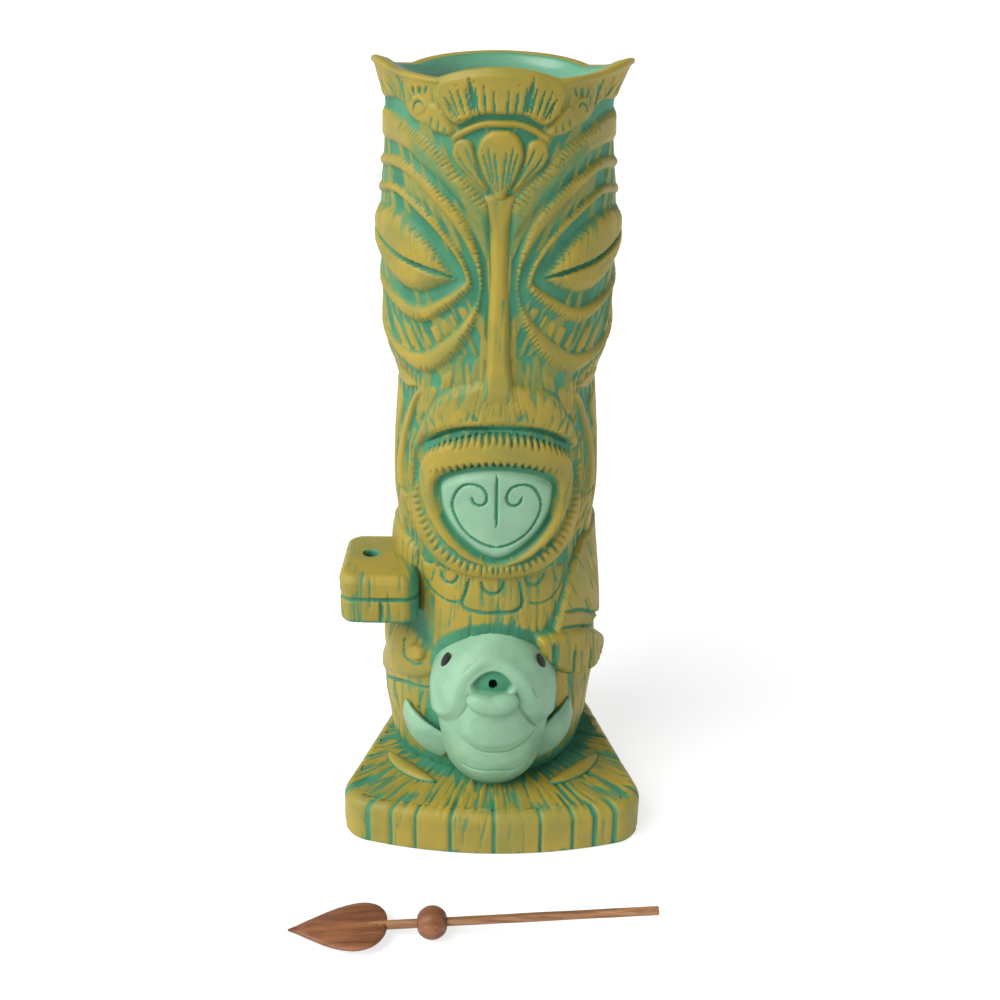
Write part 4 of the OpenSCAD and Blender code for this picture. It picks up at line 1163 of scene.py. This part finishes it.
black = Finish("gloss_black_glaze", Roughness=0.3, Specular_IOR_Level=0.2)
black.feed(black.shader.inputs["Base Color"],
           black.mix(black.noise(600), (0.008, 0.008, 0.009, 1), (0.016, 0.015, 0.015, 1)))
EYE_Z = 64.6
for name, side in (("right", -1), ("left", 1)):
    turn = math.radians(side * 62)
    bulge = carve_fish(np.array([turn * FISH_UNROLL]), np.array([EYE_Z])).height[0]
    middle = (Vector((0, FISH_Y, EYE_Z)) + Vector((math.sin(turn), -math.cos(turn), 0))
              * (float(fish_wall(EYE_Z)) + float(bulge) + 0.25))
    out = Vector((math.sin(turn) * 0.93, -math.cos(turn) * 0.93, 0.36)).normalized()
    wide = Vector((0, 0, 1)).cross(out).normalized()
    tall = out.cross(wide).normalized()
    tall = (tall + wide * -0.3 * side).normalized()
    wide = tall.cross(out).normalized()
    rings = [oval(middle + tall * 3.1 * t, wide, out, 1.7 * math.sqrt(max(1 - abs(t) ** 1.7, 0.0003)),
                  0.75 * math.sqrt(max(1 - t * t, 0.0003)), 24) for t in np.linspace(-1, 1, 25)]
    finished(f"eye_{name}", lofted(rings), black.material, "black_glaze", "mug", f"fish_eye_{name}")


# Spear: a whittled bamboo stick, a turned bead on it and a leaf-shaped blade slotted for its end.
# It lies loose on the table, propped by the bead and the tip of the blade.
def timber(name, light, dark, grain_scale):
    """Oiled wood with grain along the spear."""
    finish = Finish(name, Specular_IOR_Level=0.35)
    wood_grain = finish.noise(grain_scale, 4, (0.06, 1, 1))
    pores = finish.noise(3400, 2, (0.05, 1, 1))
    tone = (wood_grain * 0.7 + finish.noise(160, 2, (0.3, 1, 1)) * 0.3).between(0.36, 0.66)
    colour = finish.mix(tone, dark, light)
    finish.feed(finish.shader.inputs["Base Color"],
                finish.mix(pores.between(0.56, 0.74) * 0.6, colour, tuple(0.4 * c for c in dark[:3]) + (1,)))
    finish.feed(finish.shader.inputs["Roughness"], 0.4 + 0.2 * pores)
    finish.bump(wood_grain * 0.4 + pores * 0.6, 0.00016)
    return finish.material


ball_low, ball_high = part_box("spear_ball")
ball_at = (ball_low + ball_high) / 2
BALL_R = 5.05
BALL_TO_TIP = 44.8
TIP_Z = 1.3           # height of the blade's tip over the table, mm
spear_tilt = math.asin((ball_at.z / MM - TIP_Z) / BALL_TO_TIP)
lay = Matrix.Translation(ball_at) @ Matrix.Rotation(-spear_tilt, 4, "Y")
tail = (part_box("spear_shaft")[1].x - ball_at.x) / math.cos(spear_tilt) / MM - 0.2


def laid(rings):
    """A lofted piece of the spear, drawn along X from the bead and laid on the table."""
    bm = lofted(rings)
    bmesh.ops.transform(bm, matrix=lay, verts=bm.verts)
    return bm


rings = []
for x in [-23.6] + list(np.linspace(-23.4, tail - 0.15, 150)) + [tail]:
    worn = 1.25 + 0.1 * float(grain(np.array(x / 7), np.array(0.0), 5)) - (0.12 if x in (-23.6, tail) else 0)
    rings.append(oval((x, 0, 0), (0, 1, 0), (0, 0, 1), worn, worn, 20, 0.86))
finished("shaft", laid(rings), timber("bamboo", (0.330, 0.165, 0.070, 1), (0.170, 0.075, 0.030, 1), 900),
         "bamboo", "spear", "spear_shaft")

stain = timber("stained_wood", (0.260, 0.100, 0.038, 1), (0.120, 0.040, 0.015, 1), 420)
bead = bmesh.new()
bmesh.ops.create_uvsphere(bead, u_segments=56, v_segments=36, radius=BALL_R * MM)
bmesh.ops.rotate(bead, matrix=Matrix.Rotation(math.pi / 2, 3, "Y"), verts=bead.verts)
for v in bead.verts:
    hollow = math.hypot(v.co.y, v.co.z) / MM
    v.co.x *= 1 - 0.05 * smooth(np.array((3.0 - hollow) / 1.4))
bmesh.ops.transform(bead, matrix=lay, verts=bead.verts)
finished("bead", bead, stain, "stained_wood", "spear", "spear_ball")

half_line = flowing([(0, 0.15), (3.5, 1.9), (8, 4.6), (13, 7.4), (18, 9.3), (22.5, 9.95), (26.5, 8.9),
                     (29, 6.7), (30.4, 4.0), (30.8, 1.6)], step=0.7)
rings = []
for x, half in half_line:
    thick = 1.15 * min(1, 0.3 + half / 4)
    rings.append(oval((x - BALL_TO_TIP, 0, 0), (0, 1, 0), (0, 0, 1), half, thick, 56, 0.72))
    for p in rings[-1]:
        # the shaft's end stands up in its slot
        tenon = (abs(p.y / MM) < 1.25) and x > 19.5
        slot = (1.05 < abs(p.y / MM) < 1.6) and x > 19.0
        p.z *= 1.09 if tenon else (0.86 if slot else 1)
finished("blade", laid(rings), stain, "stained_wood", "spear", "spear_blade")
